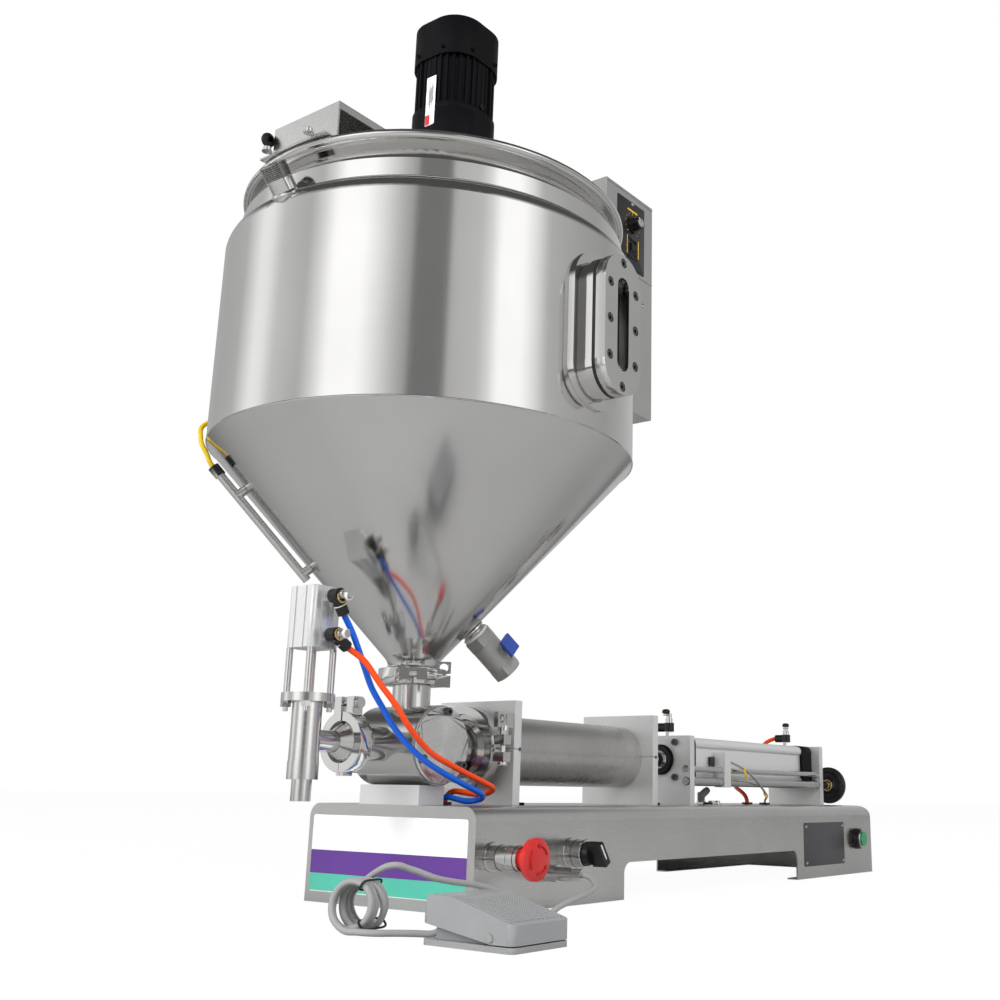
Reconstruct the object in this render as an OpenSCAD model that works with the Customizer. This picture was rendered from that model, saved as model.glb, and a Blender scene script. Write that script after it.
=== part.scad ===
// Piston paste filling machine: a pneumatic piston filler on a folded sheet base,
// fed by a jacketed mixing hopper and worked by a foot pedal.
// The origin is on the floor, straight below the hopper's axis.
// +X runs from the nozzle to the rear, -Y faces the operator and +Z is up.

/* [Base] */
// Length of the base
base_l = 950; // [900:1:1100]
// Width of the base
base_w = 235; // [200:1:300]
// Height of the base
base_h = 100; // [92:1:120]
// Distance from the hopper's axis forward to the front of the base
base_front = 23; // [20:1:60]
// Thickness of the folded sheet
sheet_t = 2; // [1.5:0.1:3]
// Radius of the long top edges
top_round = 14; // [8:1:20]
// Radius of the rear top edge
rear_round = 20; // [10:1:30]
// Start of the arch in the side walls, from the hopper's axis
arch_start = 231; // [200:1:300]
// End of the arch in the side walls
arch_end = 664; // [500:1:700]
// Height of the arch
arch_h = 39.5; // [20:0.5:50]
// Corner radius of the arch
arch_round = 12; // [6:1:18]
// Width of the turned-in flanges at the floor
flange_w = 15; // [10:1:25]

/* [Operator panel] */
// Position of the emergency stop along the base
stop_x = 3; // [0:1:20]
// Height of the emergency stop and the selector
stop_z = 53; // [45:1:60]
// Diameter of the emergency stop's head
stop_d = 40; // [30:1:44]
// Travel of the emergency stop
stop_travel = 5; // [3:0.5:6]
// Position of the selector along the base
selector_x = 130; // [110:1:150]
// Position of the start button along the base
start_x = 871; // [840:1:880]
// Height of the start button
start_z = 51; // [40:1:60]
// Travel of the start button
start_travel = 3; // [2:0.5:4]
// Position of the pedal socket along the base
socket_x = 87; // [70:1:95]
// Height of the pedal socket
socket_z = 35; // [25:1:40]
// Diameter of the holes for the control units
panel_hole = 22.3; // [20:0.1:24]

/* [Filling line] */
// Height of the filling line's axis
line_z = 159.5; // [155:0.5:170]
// Radius of the rotary valve's body
valve_r = 40.5; // [38:0.5:44]
// Half length of the rotary valve's body
valve_half = 44; // [40:1:50]
// Radius of the valve's rotor
rotor_r = 30; // [26:0.5:31]
// Radius of the channels in the rotor
channel_r = 13; // [10:0.5:14]
// Running clearance of shafts and rotors
run_gap = 0.05; // [0.02:0.01:0.08]
// Clearance of pieces that are put together and don't turn
seat_gap = 0.1; // [0.05:0.05:0.3]
// Thickness of a ferrule's disc
ferrule_t = 3.2; // [2.8:0.1:3.6]
// Thickness of a ferrule's gasket
gasket_t = 1.4; // [1:0.1:2]
// Width of a pipe clamp
clamp_w = 16; // [14:0.5:18]

/* [Filling cylinder] */
// Outer diameter of the filling cylinder
barrel_od = 77; // [75:0.5:80]
// Bore of the filling cylinder
barrel_bore = 73; // [60:0.5:73]
// Thickness of the standing plates
plate_t = 12; // [10:0.5:14]
// Front face of the first clamping plate
plate1_x = 106; // [106:1:112]
// Width of the clamping plates
tube_plate_w = 110.6; // [104:0.2:120]
// Height of the clamping plates' top
tube_plate_top = 212; // [206:1:220]
// Stroke of the piston
stroke = 236; // [200:1:240]
// Thickness of the food piston
piston_t = 20; // [18:1:22]
// Diameter of the piston rod
rod_d = 20; // [16:1:24]

/* [Air cylinder] */
// Bore of the air cylinder
air_bore = 50; // [40:1:50]
// Side of the square end caps
cap_side = 65; // [62:1:68]
// Pitch of the corner screws
cap_pitch = 46.5; // [46:0.5:48]
// Front face of the plate in front of the air cylinder
plate3_x = 491; // [488:1:495]
// Front face of the plate behind the air cylinder
plate4_x = 897; // [890:1:900]
// Width of the air cylinder's plates
air_plate_w = 93; // [90:1:96]
// Height of the air cylinder plates' top
air_plate_top = 191.5; // [188:0.5:198]
// Length of the front cap
front_cap_l = 27; // [25:1:30]
// Length of the rear cap
rear_cap_l = 34; // [28:1:36]

/* [Stroke adjuster] */
// Distance of the guide rod and the screw from the line's axis
adjust_y = 40; // [39:0.5:42]
// Height of the guide rod
guide_z = 147.5; // [146:0.5:150]
// Diameter of the guide rod
guide_d = 8; // [7:0.5:9]
// Height of the adjusting screw
screw_z = 131; // [130.5:0.5:133]
// Diameter of the adjusting screw
screw_d = 12; // [10:0.5:14]
// Front face of the sensor carriage
carriage_x = 583; // [570:1:600]
// Length of the sensor carriage
carriage_l = 17; // [15:1:20]
// Diameter of the handwheel
wheel_d = 58; // [50:1:60]

/* [Nozzle] */
// Distance of the nozzle in front of the hopper's axis
nozzle_x = 140; // [134:1:150]
// Height of the nozzle's outlet
nozzle_low = 103; // [103:0.5:108]
// Outer radius of the nozzle's body
nozzle_r = 14.25; // [13:0.25:15]
// Travel of the cut-off plunger
plunger_travel = 15; // [10:0.5:16]
// Side of the nozzle's air cylinder
nozzle_cyl_side = 36; // [34:0.5:40]
// Height of the underside of the nozzle's air cylinder
nozzle_cyl_low = 246; // [244:1:250]
// Length of the nozzle's air cylinder
nozzle_cyl_l = 60; // [50:1:62]

/* [Hopper] */
// Outer radius of the jacket
jacket_r = 231.5; // [228:0.5:236]
// Thickness of the hopper's sheet
wall_t = 2; // [1.5:0.1:3]
// Outer radius of the inner bowl
bowl_r = 217; // [212:0.5:218]
// Height where the jacket's cone starts
cone_low = 258; // [257:1:262]
// Height where the cone meets the straight wall
cone_top = 467.7; // [460:0.1:475]
// Outer radius of the cone's lower end
cone_low_r = 38; // [36:0.5:44]
// Height where the shoulder starts
shoulder_z = 681; // [670:1:684]
// Height of the shoulder's top
jacket_top = 699; // [696:1:702]
// Height where the neck of the bowl starts to narrow
neck_z = 720; // [716:1:724]
// Outer radius of the bowl's mouth
mouth_r = 205.3; // [203:0.1:208]
// Height of the centre of the rim's bead
rim_z = 748; // [746:0.5:752]
// Outer radius of the rim
rim_r = 218; // [216:0.5:222]
// Radius of the rim's bead
bead_r = 4.5; // [3.5:0.25:6]
// Outer radius of the outlet pipe
outlet_r = 24.5; // [23:0.5:26]

/* [Sight glass] */
// Height of the sight glass's centre
sight_z = 572; // [560:1:590]
// Width of the clamping plate
sight_w = 63; // [58:1:70]
// Height of the clamping plate
sight_h = 150; // [130:1:160]
// Distance of the front face from the hopper's axis
sight_front = 266.5; // [258:0.5:272]
// Width of the window slot
slot_w = 20; // [14:1:26]
// Height of the window slot
slot_h = 100; // [80:1:106]

/* [Mixer] */
// Height of the bridge's top
bridge_z = 797; // [785:1:810]
// Width of the bridge
bridge_w = 100; // [96:1:110]
// Length of the bridge
bridge_l = 404; // [400:1:412]
// Distance between the motor's axis and the output shaft
gear_offset = 18; // [14:1:22]
// Side of the gearbox
gearbox_side = 90; // [84:1:94]
// Height of the gearbox's top
gearbox_top = 893; // [880:1:900]
// Height of the fan cover's lower edge
fan_cover_z = 965; // [950:1:970]
// Height of the fan cover's top
motor_top = 1016; // [1005:1:1030]
// Diameter of the mixer's shaft
mixer_shaft_d = 20; // [16:1:24]
// Reach of the mixer's frame
mixer_reach = 203; // [180:1:206]

/* [Control box] */
// Side of the control box that faces the hopper
box_x = 257; // [252:1:262]
// Width of the control box
box_w = 113; // [100:1:120]
// Front face of the control box, from the machine's middle plane
box_front = 60; // [50:1:70]
// Depth of the control box
box_d = 80; // [70:1:90]
// Height of the control box's underside
box_z = 807; // [800:1:815]
// Height of the control box
box_h = 115; // [105:1:125]

/* [Foot pedal] */
// Corner of the pedal along the machine
pedal_x = -201; // [-220:1:-190]
// Corner of the pedal towards the operator
pedal_y = -313; // [-330:1:-300]
// Width of the pedal
pedal_w = 70; // [64:1:80]
// Length of the pedal
pedal_l = 92; // [80:1:100]
// Height of the treadle at its toe
pedal_toe_h = 20; // [18:0.5:24]
// Height of the treadle at its heel
pedal_heel_h = 37; // [32:0.5:42]

/* [Hoses] */
// Diameter of the air hoses
hose_d = 6; // [5:0.5:6.5]
// Diameter of the pedal's cord
cord_d = 5.5; // [5:0.5:6]
// Diameter of the sensor's cable
sensor_cable_d = 3; // [2.5:0.5:3.5]
// Diameter of the probe's cable
probe_cable_d = 5; // [4:0.5:6]

/* [Hidden] */

$fn = 96;
eps = 0.01;

base_rear_x = base_l - base_front;
panel_y = -base_w / 2;
cover_t = 2;

stop_collar_d = 24;
stop_collar_l = 38;
stop_stem_d = 18;
stop_head_l = 15;
stop_skirt_l = 7;
selector_bezel_d = 28;
selector_bezel_l = 22;
selector_knob_d = 21;
switch_nut_t = 4;
switch_nut_r = panel_hole / 2 + 3.5;
start_bezel_d = 30;
start_bezel_l = 9.5;
start_cap_d = 21;
block_side = 30;
block_l = 42;
grommet_hole = 11;
grommets = [
  [27, -18, hose_d], [41, -16, hose_d], [740, 2, hose_d], [745, -25, sensor_cable_d], [616, 0, hose_d]
];
air_inlet_d = 8;
inlet_y = 40;
inlet_z = 50;
socket_thread_d = 13;
socket_l = 8;
plug_d = 17;
plug_l = 40;

valve_cap_t = 4.5;
valve_cap_r = valve_r - 1.5;
valve_back_t = 7;
cap_screw_r = 34;
cap_screw_angles = [85 : 120 : 325];
screw_hole_r = 2.6;
rotor_len = 2 * valve_half - valve_back_t - 2 * run_gap;
stem_r = 8;
saddle_l = 84;
saddle_x = -25;
saddle_w = 37;
saddle_top = line_z - valve_r + 0.6;

outlet_pipe_r = 17;
outlet_port_r = 12;
outlet_ferrule_r = 25.25;
outlet_seam_x = -87.5;
spout_pipe_r = 10.5;
port_pipe_r = 27;
port_ferrule_r = 42;
port_seam_x = 87.5;
neck_pipe_r = 20;
neck_ferrule_r = 32;
neck_seam_z = 230;
stack_half = ferrule_t + gasket_t / 2;

barrel_hub_r = 30;
barrel_head_t = 6;
barrel_x = plate1_x + plate_t;
barrel_wall_end = 3;
piston_end_gap = 1;
piston_x = barrel_x + barrel_head_t + piston_end_gap;
plate2_x = piston_x + piston_t + stroke + piston_end_gap + barrel_wall_end;
seal_w = 3;
seal_depth = 3;
seal_inset = 3;
seal_starts = [piston_x + seal_inset, piston_x + piston_t - seal_inset - seal_w];
split_gap = 0.8;

air_x = plate3_x + plate_t + front_cap_l;
air_end_x = plate4_x - rear_cap_l;
air_piston_t = 30;
air_piston_x = air_x + 2 * piston_end_gap;
air_port_front_x = plate3_x + plate_t + 9;
air_port_rear_x = air_end_x + 9;
cap_lobe_r = 8;
tube_flat = 28;
gland_r = 20;
gland_l = 6;
corner = cap_pitch / 2;

carriage_w = 17;
carriage_low = 124;
carriage_top = 172;
carriage_gap = 3;
wheel_x = plate4_x + plate_t + 29;
wheel_l = 26;

nozzle_flange_r = 25.5;
nozzle_flange_z = 195;
nozzle_flange_t = 8;
nozzle_bore = 11;
collar_top = 140;
collar_r = 14.75;
spout_r = 9.5;
spout_bore = 7;
seat_z = 126;
standoff_pitch = 29;
standoff_d = 6.5;
plunger_r = 4;
nozzle_piston_r = 12.5;
nozzle_end_t = 7;
nozzle_chamber_z = nozzle_cyl_low + nozzle_end_t;
nozzle_chamber_l = nozzle_cyl_l - 2 * nozzle_end_t;
port_low_z = nozzle_cyl_low + 12;
port_high_z = nozzle_cyl_low + nozzle_cyl_l - 10;

cone_slope = (cone_top - cone_low) / (jacket_r - cone_low_r);
cone_angle = atan(cone_slope);
jacket_gap = (jacket_r - bowl_r) + 1.8;
bowl_cone_low = cone_low + (outlet_r - cone_low_r + jacket_gap) * cone_slope;
bowl_cone_top = cone_low + (bowl_r - cone_low_r + jacket_gap) * cone_slope;

gasket_sight_t = 4;
sight_plate_t = 12;
sight_sink = 5.5;
sight_sink_r = 5.1;
pane_t = 5;
sight_body_front = -sight_front + sight_plate_t + gasket_sight_t;
sight_bolt_x = 22.3;
sight_bolt_z = 38.7;
sight_bolt_end = 66.5;
sight_bolts = concat(
  [for (sx = [-1, 1]) for (sz = [-1, 0, 1]) [sx * sight_bolt_x, sight_z + sz * sight_bolt_z]],
  [for (sz = [-1, 1]) [0, sight_z + sz * sight_bolt_end]]
);

drain_az = -25;
drain_z = 287;
drain_l = 64;
drain_hex_l = 12;
drain_hex_r = 17.5;
drain_body_r = 16;
drain_stem_z = 41;
drain_turn = 155;
drain_lever_z = 25;
drain_lever_t = 4;
probe_az = 143;
probe_low_z = 334;
probe_high_z = 439;
inlet_az = 182;
inlet_tilt = 42.5;
inlet_r = 13.2;
inlet_bore_r = 10;
inlet_out = 30;
inlet_in = 6;
neck_fillet_r = 14;
drain_bore_r = 7;
drain_ball_r = 10;
drain_stem_r = 4;

bridge_lip = 9;
gear_corner_r = 34;
fin_reach = 3.5;
bridge_foot = 16;
spigot_r = 17;
mixer_bar = 8;
mixer_top_z = 655;
mixer_low_z = 480;
mixer_foot_z = 292;

box_wall = 1.5;
post_w = 70;
post_d = 40;
post_low = 605;
knob_x = box_x + 62;
rocker_w = 14;
rocker_r = 10.5;
knob_z = box_z + 68;
rocker_z = box_z + 32;

pedal_pin_y = pedal_y + 22;
pedal_pin_z = 10;
pedal_wall = 2.5;
pedal_base_h = 9;
pedal_flange_t = 4.5;
pedal_corner_r = 6;
pedal_low = 5.5;
pedal_crest = 0.68;
pedal_rib_count = 14;
pedal_rib_w = 1.5;
pedal_rib_h = 0.8;
pedal_notch_w = 13;
pedal_notch_h = 20;
pedal_cord_x = pedal_x + pedal_w / 2 - 2;

hose_blue = [
  [-133.5, -30, 285.8], [-129, -30, 278.6], [-119, -32, 263], [-110, -33.5, 246], [-103, -36, 229],
  [-95.6, -40, 210], [-85.7, -46, 192], [-75, -53, 173], [-61.5, -60, 157], [-44.3, -66, 143],
  [-22, -70, 132], [1, -73, 123], [28.5, -73.5, 113.7], [50, -70, 106.5], [59, -62, 103.8],
  [50, -54, 103.6], [38, -47, 104.5],
  [29, -38, 107.5], [27, -28, 110], [27, -20.5, 109], [27, -18, 105], [27, -18, 99]
];
hose_orange = [
  [-129.3, -30, 251.8], [-122.4, -30, 247.8], [-112, -44, 235], [-100, -56, 213], [-87, -65, 194],
  [-70, -71, 171],
  [-44, -73, 151], [-16, -75, 139.5], [15, -75, 129.5], [48, -73, 120], [71, -70, 113], [78, -63, 110.5],
  [72, -56, 110], [58, -50, 111], [46, -40, 113], [41, -29, 114.5], [41, -19.5, 113], [41, -16, 108.5],
  [41, -16, 99]
];
hose_rear = [
  [872, 10.2, 204], [872, 20, 204], [868, 32, 199], [862, 40, 190], [840, 48, 168], [800, 50, 145],
  [760, 34, 128], [742, 12, 118], [740, 2, 110], [740, 2, 99]
];
cable_sensor = [
  [600.2, -42, 160], [604, -42, 160], [613, -45, 157.5], [639, -52, 148], [668, -54, 133],
  [700, -48, 120], [731, -37, 113],
  [743, -28, 108.5], [745, -25, 105.5], [745, -25, 99]
];
cable_probe = [
  [-176.9, 133.2, 440.6], [-179.5, 135.3, 444.2], [-182.3, 139.6, 455], [-186.3, 144.4, 466],
  [-184.6, 149.5, 476],
  [-179.3, 158.1, 485], [-175.4, 161.3, 492], [-172.2, 160.6, 495], [-169.6, 158.2, 495.5]
];
cord_route = [
  [87, -157.6, 35], [87, -167, 35], [85.5, -178, 31.5], [75, -188, 25], [52, -195, 21], [27, -200, 18],
  [4, -200, 13], [-11, -198, 8], [-40, -196, 13], [-69, -195, 27], [-98, -190, 36], [-124, -185, 40],
  [-144, -180, 44], [-166, -172, 54], [-181, -165, 59], [-190, -152, 58.5], [-193, -144, 54],
  [-193, -142, 50], [-193, -142, 45.1]
];
cord_tail = [
  [-190, -163.5, 12], [-187, -169, 8], [-182, -179, 4], [-173, -188, 3.5], [-167, -200, 3.5],
  [-166, -211, 7.5], [-168, -217, 9.5], [-168, -222, 9.5], [-168, -228.8, 9.5]
];

// Puts a flat outline into the YZ plane and raises it along +X from x
module along_x(x, length) {
  translate([x, 0, 0])
    rotate([90, 0, 90])
      linear_extrude(length)
        children();
}

// Puts a flat outline into the XZ plane and raises it along +Y from y
module along_y(y, length) {
  translate([0, y + length, 0])
    rotate([90, 0, 0])
      linear_extrude(length)
        children();
}

// A round bar along X with its centre on the point y, z
module bar_x(x, y, z, length, r) {
  translate([x, y, z])
    rotate([0, 90, 0])
      cylinder(h = length, r = r);
}

// A round bar along Y with its centre on the point x, z
module bar_y(x, y, z, length, r) {
  translate([x, y + length, z])
    rotate([90, 0, 0])
      cylinder(h = length, r = r);
}

// A round bar between two points
module bar_between(a, b, r) {
  d = b - a;
  length = norm(d);
  translate(a)
    rotate([0, acos(d[2] / length), atan2(d[1], d[0])])
      cylinder(h = length, r = r);
}

// Moves children to a place on the operator panel, with their own z axis pointing at the operator
module on_panel(x, z) {
  translate([x, panel_y, z])
    rotate([90, 0, 0])
      children();
}

module round_rect(w, h, r) {
  square([w - 2 * r, h], center = true);
  square([w, h - 2 * r], center = true);
  for (sx = [-1, 1])
    for (sy = [-1, 1])
      translate([sx * (w / 2 - r), sy * (h / 2 - r)])
        circle(r);
}

module stadium(w, h) {
  square([w, h - w], center = true);
  for (s = [-1, 1])
    translate([0, s * (h - w) / 2])
      circle(w / 2);
}

// A tube of round section swept through a list of points
module swept_tube(path, d, sides = 8) {
  n = len(path);
  vertices = [for (i = [0 : n - 1]) each ring_at(path, i, d / 2, sides)];
  walls = [
    for (i = [0 : n - 2])
      for (j = [0 : sides - 1])
        let (k = (j + 1) % sides)
          each [
            [i * sides + j, (i + 1) * sides + k, i * sides + k],
            [i * sides + j, (i + 1) * sides + j, (i + 1) * sides + k]
          ]
  ];
  first_end = [for (j = [0 : sides - 1]) j];
  last_end = [for (j = [sides - 1 : -1 : 0]) (n - 1) * sides + j];
  polyhedron(vertices, concat(walls, [first_end, last_end]), convexity = 8);
}

function path_point(p, i) = p[max(0, min(len(p) - 1, i))];

function unit(v) = v / norm(v);

function tangent(path, i) = unit(path_point(path, i + 1) - path_point(path, i - 1));

function turned(v, t) = unit(v - (v * t) * t);

function side_at(path, i) = i == 0
  ? turned(abs(tangent(path, 0)[2]) > 0.9 ? [1, 0, 0] : [0, 0, 1], tangent(path, 0))
  : turned(side_at(path, i - 1), tangent(path, i));

function ring_at(path, i, r, sides) =
  let (t = tangent(path, i), a = side_at(path, i), b = cross(t, a))
    [for (j = [0 : sides - 1])
      path[i] + r * (cos(360 * j / sides) * a + sin(360 * j / sides) * b)];

// Cross section of the folded base, inset from its outside
module base_section(inset) {
  w = base_w - 2 * inset;
  h = base_h - inset;
  r = top_round - inset;
  translate([-w / 2, 0])
    square([w, h - r]);
  translate([-w / 2 + r, 0])
    square([w - 2 * r, h]);
  for (s = [-1, 1])
    translate([s * (w / 2 - r), h - r])
      circle(r);
}

// Side view of the base, inset from its outside, with its rear top edge rounded
module base_side(inset) {
  l = base_l - 2 * inset;
  h = base_h - inset;
  r = rear_round - inset;
  translate([-base_front + inset, 0]) {
    square([l, h - r]);
    square([l - r, h]);
    translate([l - r, h - r])
      circle(r);
  }
}

module base_block(inset) {
  intersection() {
    along_x(-base_front + inset, base_l - 2 * inset)
      base_section(inset);
    along_y(-base_w, 2 * base_w)
      base_side(inset);
  }
}

module arch_cut() {
  along_y(-base_w, 2 * base_w) {
    translate([arch_start, -1])
      square([arch_end - arch_start, arch_h - arch_round + 1]);
    translate([arch_start + arch_round, -1])
      square([arch_end - arch_start - 2 * arch_round, arch_h + 1]);
    for (x = [arch_start + arch_round, arch_end - arch_round])
      translate([x, arch_h - arch_round])
        circle(arch_round);
  }
}

// The turned-in flanges of one end of the base, from x1 to x2 at height z
module base_flange(x1, x2, z) {
  for (s = [-1, 1])
    translate([x1, s * (base_w / 2 - sheet_t / 2 - flange_w / 2) - flange_w / 2, z])
      cube([x2 - x1, flange_w, sheet_t]);
}

module base_shell() {
  color("silver") {
    difference() {
      base_block(0);
      base_block(sheet_t);
      translate([0, 0, -base_h / 2])
        base_block(sheet_t);
      arch_cut();
      for (x = [stop_x, selector_x])
        on_panel(x, stop_z)
          cylinder(h = 3 * sheet_t, r = panel_hole / 2, center = true);
      on_panel(start_x, start_z)
        cylinder(h = 3 * sheet_t, r = panel_hole / 2, center = true);
      on_panel(socket_x, socket_z)
        cylinder(h = 3 * sheet_t, r = socket_thread_d / 2 + seat_gap, center = true);
      for (p = grommets)
        translate([p[0], p[1], base_h])
          cylinder(h = 3 * sheet_t, r = grommet_hole / 2, center = true);
      for (y = [-inlet_y, inlet_y])
        bar_x(base_rear_x - 2 * sheet_t, y, inlet_z, 4 * sheet_t, socket_thread_d / 2 + seat_gap);
    }
    base_flange(-base_front + sheet_t / 2, arch_start, cover_t);
    base_flange(arch_end, base_rear_x - sheet_t / 2, 0);
  }
}

module base_bottom_cover() {
  color("silver")
    translate([-base_front + sheet_t + seat_gap, -base_w / 2 + sheet_t + seat_gap, 0])
      cube([base_front + arch_start - sheet_t - seat_gap, base_w - 2 * (sheet_t + seat_gap), cover_t]);
}

// Three valves on a rail, under the base's top
module solenoid_valves() {
  color("dimgray") {
    translate([150, 40, base_h - sheet_t - 10])
      cube([70, 50, 10]);
    for (i = [0 : 2])
      translate([152 + 23 * i, 20, base_h - sheet_t - 46]) {
        translate([0, 20, 0])
          cube([20, 60, 36]);
        translate([1, -8, 6])
          cube([18, 28, 24]);
      }
  }
}

// Collar, nut and switch block of one control unit, with the bore that its button slides in
module control_unit(collar_d, collar_l, bore_d, bore_l) {
  difference() {
    union() {
      cylinder(h = collar_l, r = collar_d / 2);
      translate([0, 0, -sheet_t - switch_nut_t])
        cylinder(h = sheet_t + switch_nut_t + eps, r = panel_hole / 2 - seat_gap);
      translate([0, 0, -sheet_t - switch_nut_t])
        cylinder(h = switch_nut_t, r = switch_nut_r);
      translate([-block_side / 2, -block_side / 2, -sheet_t - switch_nut_t - block_l])
        cube([block_side, block_side, block_l + eps]);
    }
    translate([0, 0, collar_l - bore_l])
      cylinder(h = bore_l + 1, r = bore_d / 2);
  }
}

module pedal_socket() {
  cylinder(h = 3, r = 10, $fn = 6);
  cylinder(h = socket_l, r = socket_thread_d / 2);
  translate([0, 0, -sheet_t - 14])
    cylinder(h = sheet_t + 14 + eps, r = socket_thread_d / 2);
  translate([0, 0, -sheet_t - 3])
    cylinder(h = 3, r = 10, $fn = 6);
}

module hose_grommet(d) {
  difference() {
    union() {
      cylinder(h = 3, r = grommet_hole / 2 + 2.5);
      translate([0, 0, -sheet_t - 2])
        cylinder(h = sheet_t + 3, r = grommet_hole / 2 - seat_gap);
    }
    translate([0, 0, -1])
      cylinder(h = 9, r = d / 2 + seat_gap, center = true);
  }
}

// Air inlet and cable gland in the rear end of the base
module rear_inlet(bore_r) {
  difference() {
    union() {
      cylinder(h = 5, r = 9.5, $fn = 6);
      cylinder(h = 16, r = 7.5);
      translate([0, 0, -sheet_t - 10])
        cylinder(h = sheet_t + 10 + eps, r = socket_thread_d / 2);
      translate([0, 0, -sheet_t - 4])
        cylinder(h = 4, r = 9.5, $fn = 6);
    }
    translate([0, 0, -1])
      cylinder(h = 20, r = bore_r);
  }
}

module panel_fittings() {
  color("silver") {
    on_panel(stop_x, stop_z)
      control_unit(stop_collar_d, stop_collar_l, stop_stem_d + 2 * run_gap, stop_collar_l - 1);
    on_panel(selector_x, stop_z)
      control_unit(selector_bezel_d, selector_bezel_l, selector_knob_d + 2 * run_gap, selector_bezel_l - 4);
    on_panel(start_x, start_z)
      control_unit(start_bezel_d, start_bezel_l, start_cap_d + 2 * run_gap, start_bezel_l - 1);
    on_panel(socket_x, socket_z)
      pedal_socket();
  }
  color("black")
    for (p = grommets)
      translate([p[0], p[1], base_h])
        hose_grommet(p[2]);
  color("dimgray")
    for (y = [-inlet_y, inlet_y])
      translate([base_rear_x, y, inlet_z])
        rotate([0, 90, 0])
          rear_inlet(air_inlet_d / 2);
}

module estop_button() {
  stem_low = stop_travel + 2;
  head_low = stop_collar_l + stop_travel + 0.5;
  color("red")
    on_panel(stop_x, stop_z) {
      translate([0, 0, stem_low])
        cylinder(h = head_low - stem_low + 1, r = stop_stem_d / 2);
      intersection() {
        union() {
          translate([0, 0, head_low])
            cylinder(h = stop_skirt_l + eps, r1 = stop_stem_d / 2 + 3, r2 = stop_stem_d / 2 + 5.5);
          translate([0, 0, head_low + stop_skirt_l])
            cylinder(h = stop_head_l, r = stop_d / 2);
        }
        translate([0, 0, head_low + stop_head_l - 1.6 * stop_d])
          sphere(1.6 * stop_d);
      }
    }
}

module selector_knob() {
  low = 5;
  color("black")
    on_panel(selector_x, stop_z) {
      translate([0, 0, low])
        cylinder(h = selector_bezel_l - low + 1, r = selector_knob_d / 2);
      translate([0, 0, selector_bezel_l + 0.5])
        cylinder(h = 6, r1 = selector_knob_d / 2 + 2, r2 = selector_knob_d / 2);
      rotate(35)
        translate([-4.5, -selector_knob_d / 2 - 2, selector_bezel_l + 5])
          cube([9, selector_knob_d + 4, 17]);
    }
}

module start_button() {
  low = start_travel + 2;
  color("green")
    on_panel(start_x, start_z)
      translate([0, 0, low])
        cylinder(h = start_bezel_l - low + start_travel + 0.5, r = start_cap_d / 2);
}

module valve_saddle() {
  color("gainsboro")
    difference() {
      translate([saddle_x, -saddle_l / 2, base_h])
        cube([saddle_w, saddle_l, saddle_top - base_h]);
      bar_y(0, -saddle_l, line_z, 2 * saddle_l, valve_r + seat_gap);
    }
}

// A ferrule's disc and coned neck, its sealing face at z = 0 and its pipe below it
module ferrule(r, pipe_r) {
  translate([0, 0, -ferrule_t])
    cylinder(h = ferrule_t, r = r);
  translate([0, 0, -ferrule_t - (r - pipe_r) / 3])
    cylinder(h = (r - pipe_r) / 3, r1 = pipe_r, r2 = pipe_r + (r - pipe_r) / 3);
}

module valve_body() {
  seal = gasket_t / 2;
  color("silver")
    difference() {
      union() {
        bar_y(0, -valve_half, line_z, 2 * valve_half, valve_r);
        bar_x(outlet_seam_x + seal, 0, line_z, -outlet_seam_x - seal - 20, outlet_pipe_r);
        translate([outlet_seam_x + seal, 0, line_z])
          rotate([0, -90, 0])
            ferrule(outlet_ferrule_r, outlet_pipe_r);
        bar_x(20, 0, line_z, port_seam_x - seal - 20, port_pipe_r);
        translate([port_seam_x - seal, 0, line_z])
          rotate([0, 90, 0])
            ferrule(port_ferrule_r, port_pipe_r);
        translate([0, 0, line_z + 20])
          cylinder(h = neck_seam_z - seal - line_z - 20, r = neck_pipe_r);
        translate([0, 0, neck_seam_z - seal])
          ferrule(neck_ferrule_r, neck_pipe_r);
      }
      bar_y(0, -valve_half - 1, line_z, 2 * valve_half - valve_back_t + 1, rotor_r);
      bar_y(0, 0, line_z, valve_half + 1, stem_r + run_gap);
      bar_x(outlet_seam_x - 1, 0, line_z, -outlet_seam_x, outlet_port_r);
      bar_x(1, 0, line_z, port_seam_x, port_pipe_r - wall_t);
      translate([0, 0, line_z])
        cylinder(h = neck_seam_z - line_z + 1, r = neck_pipe_r - wall_t);
    }
}

module valve_cap() {
  color("gainsboro")
    difference() {
      bar_y(0, -valve_half - valve_cap_t, line_z, valve_cap_t, valve_cap_r);
      for (a = cap_screw_angles)
        bar_y(
          cap_screw_r * cos(a), -valve_half - valve_cap_t - 1, line_z + cap_screw_r * sin(a),
          valve_cap_t + 2, screw_hole_r
        );
    }
}

// A round rotor whose T-shaped channel joins the barrel to the hopper or to the nozzle
module valve_rotor() {
  color("gray")
    difference() {
      union() {
        bar_y(0, -valve_half + run_gap, line_z, rotor_len, rotor_r - run_gap);
        bar_y(0, 0, line_z, valve_half + 24, stem_r);
      }
      translate([0, 0, line_z - 1.5 * rotor_r])
        cylinder(h = 3 * rotor_r, r = channel_r);
      bar_x(0, 0, line_z, 2 * rotor_r, channel_r);
    }
}

// Rotary air actuator behind the valve, its ports on the far side
module valve_actuator() {
  low = valve_half + 0.3;
  color("silver")
    difference() {
      union() {
        bar_y(0, low, line_z, 8, 33);
        along_y(low + 8, 36)
          translate([0, line_z])
            round_rect(56, 56, 10);
        for (s = [-1, 1])
          bar_y(s * 16, low + 43, line_z + 16, 9, 5);
      }
      bar_y(0, low - 1, line_z, 26, stem_r + run_gap);
    }
}

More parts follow.
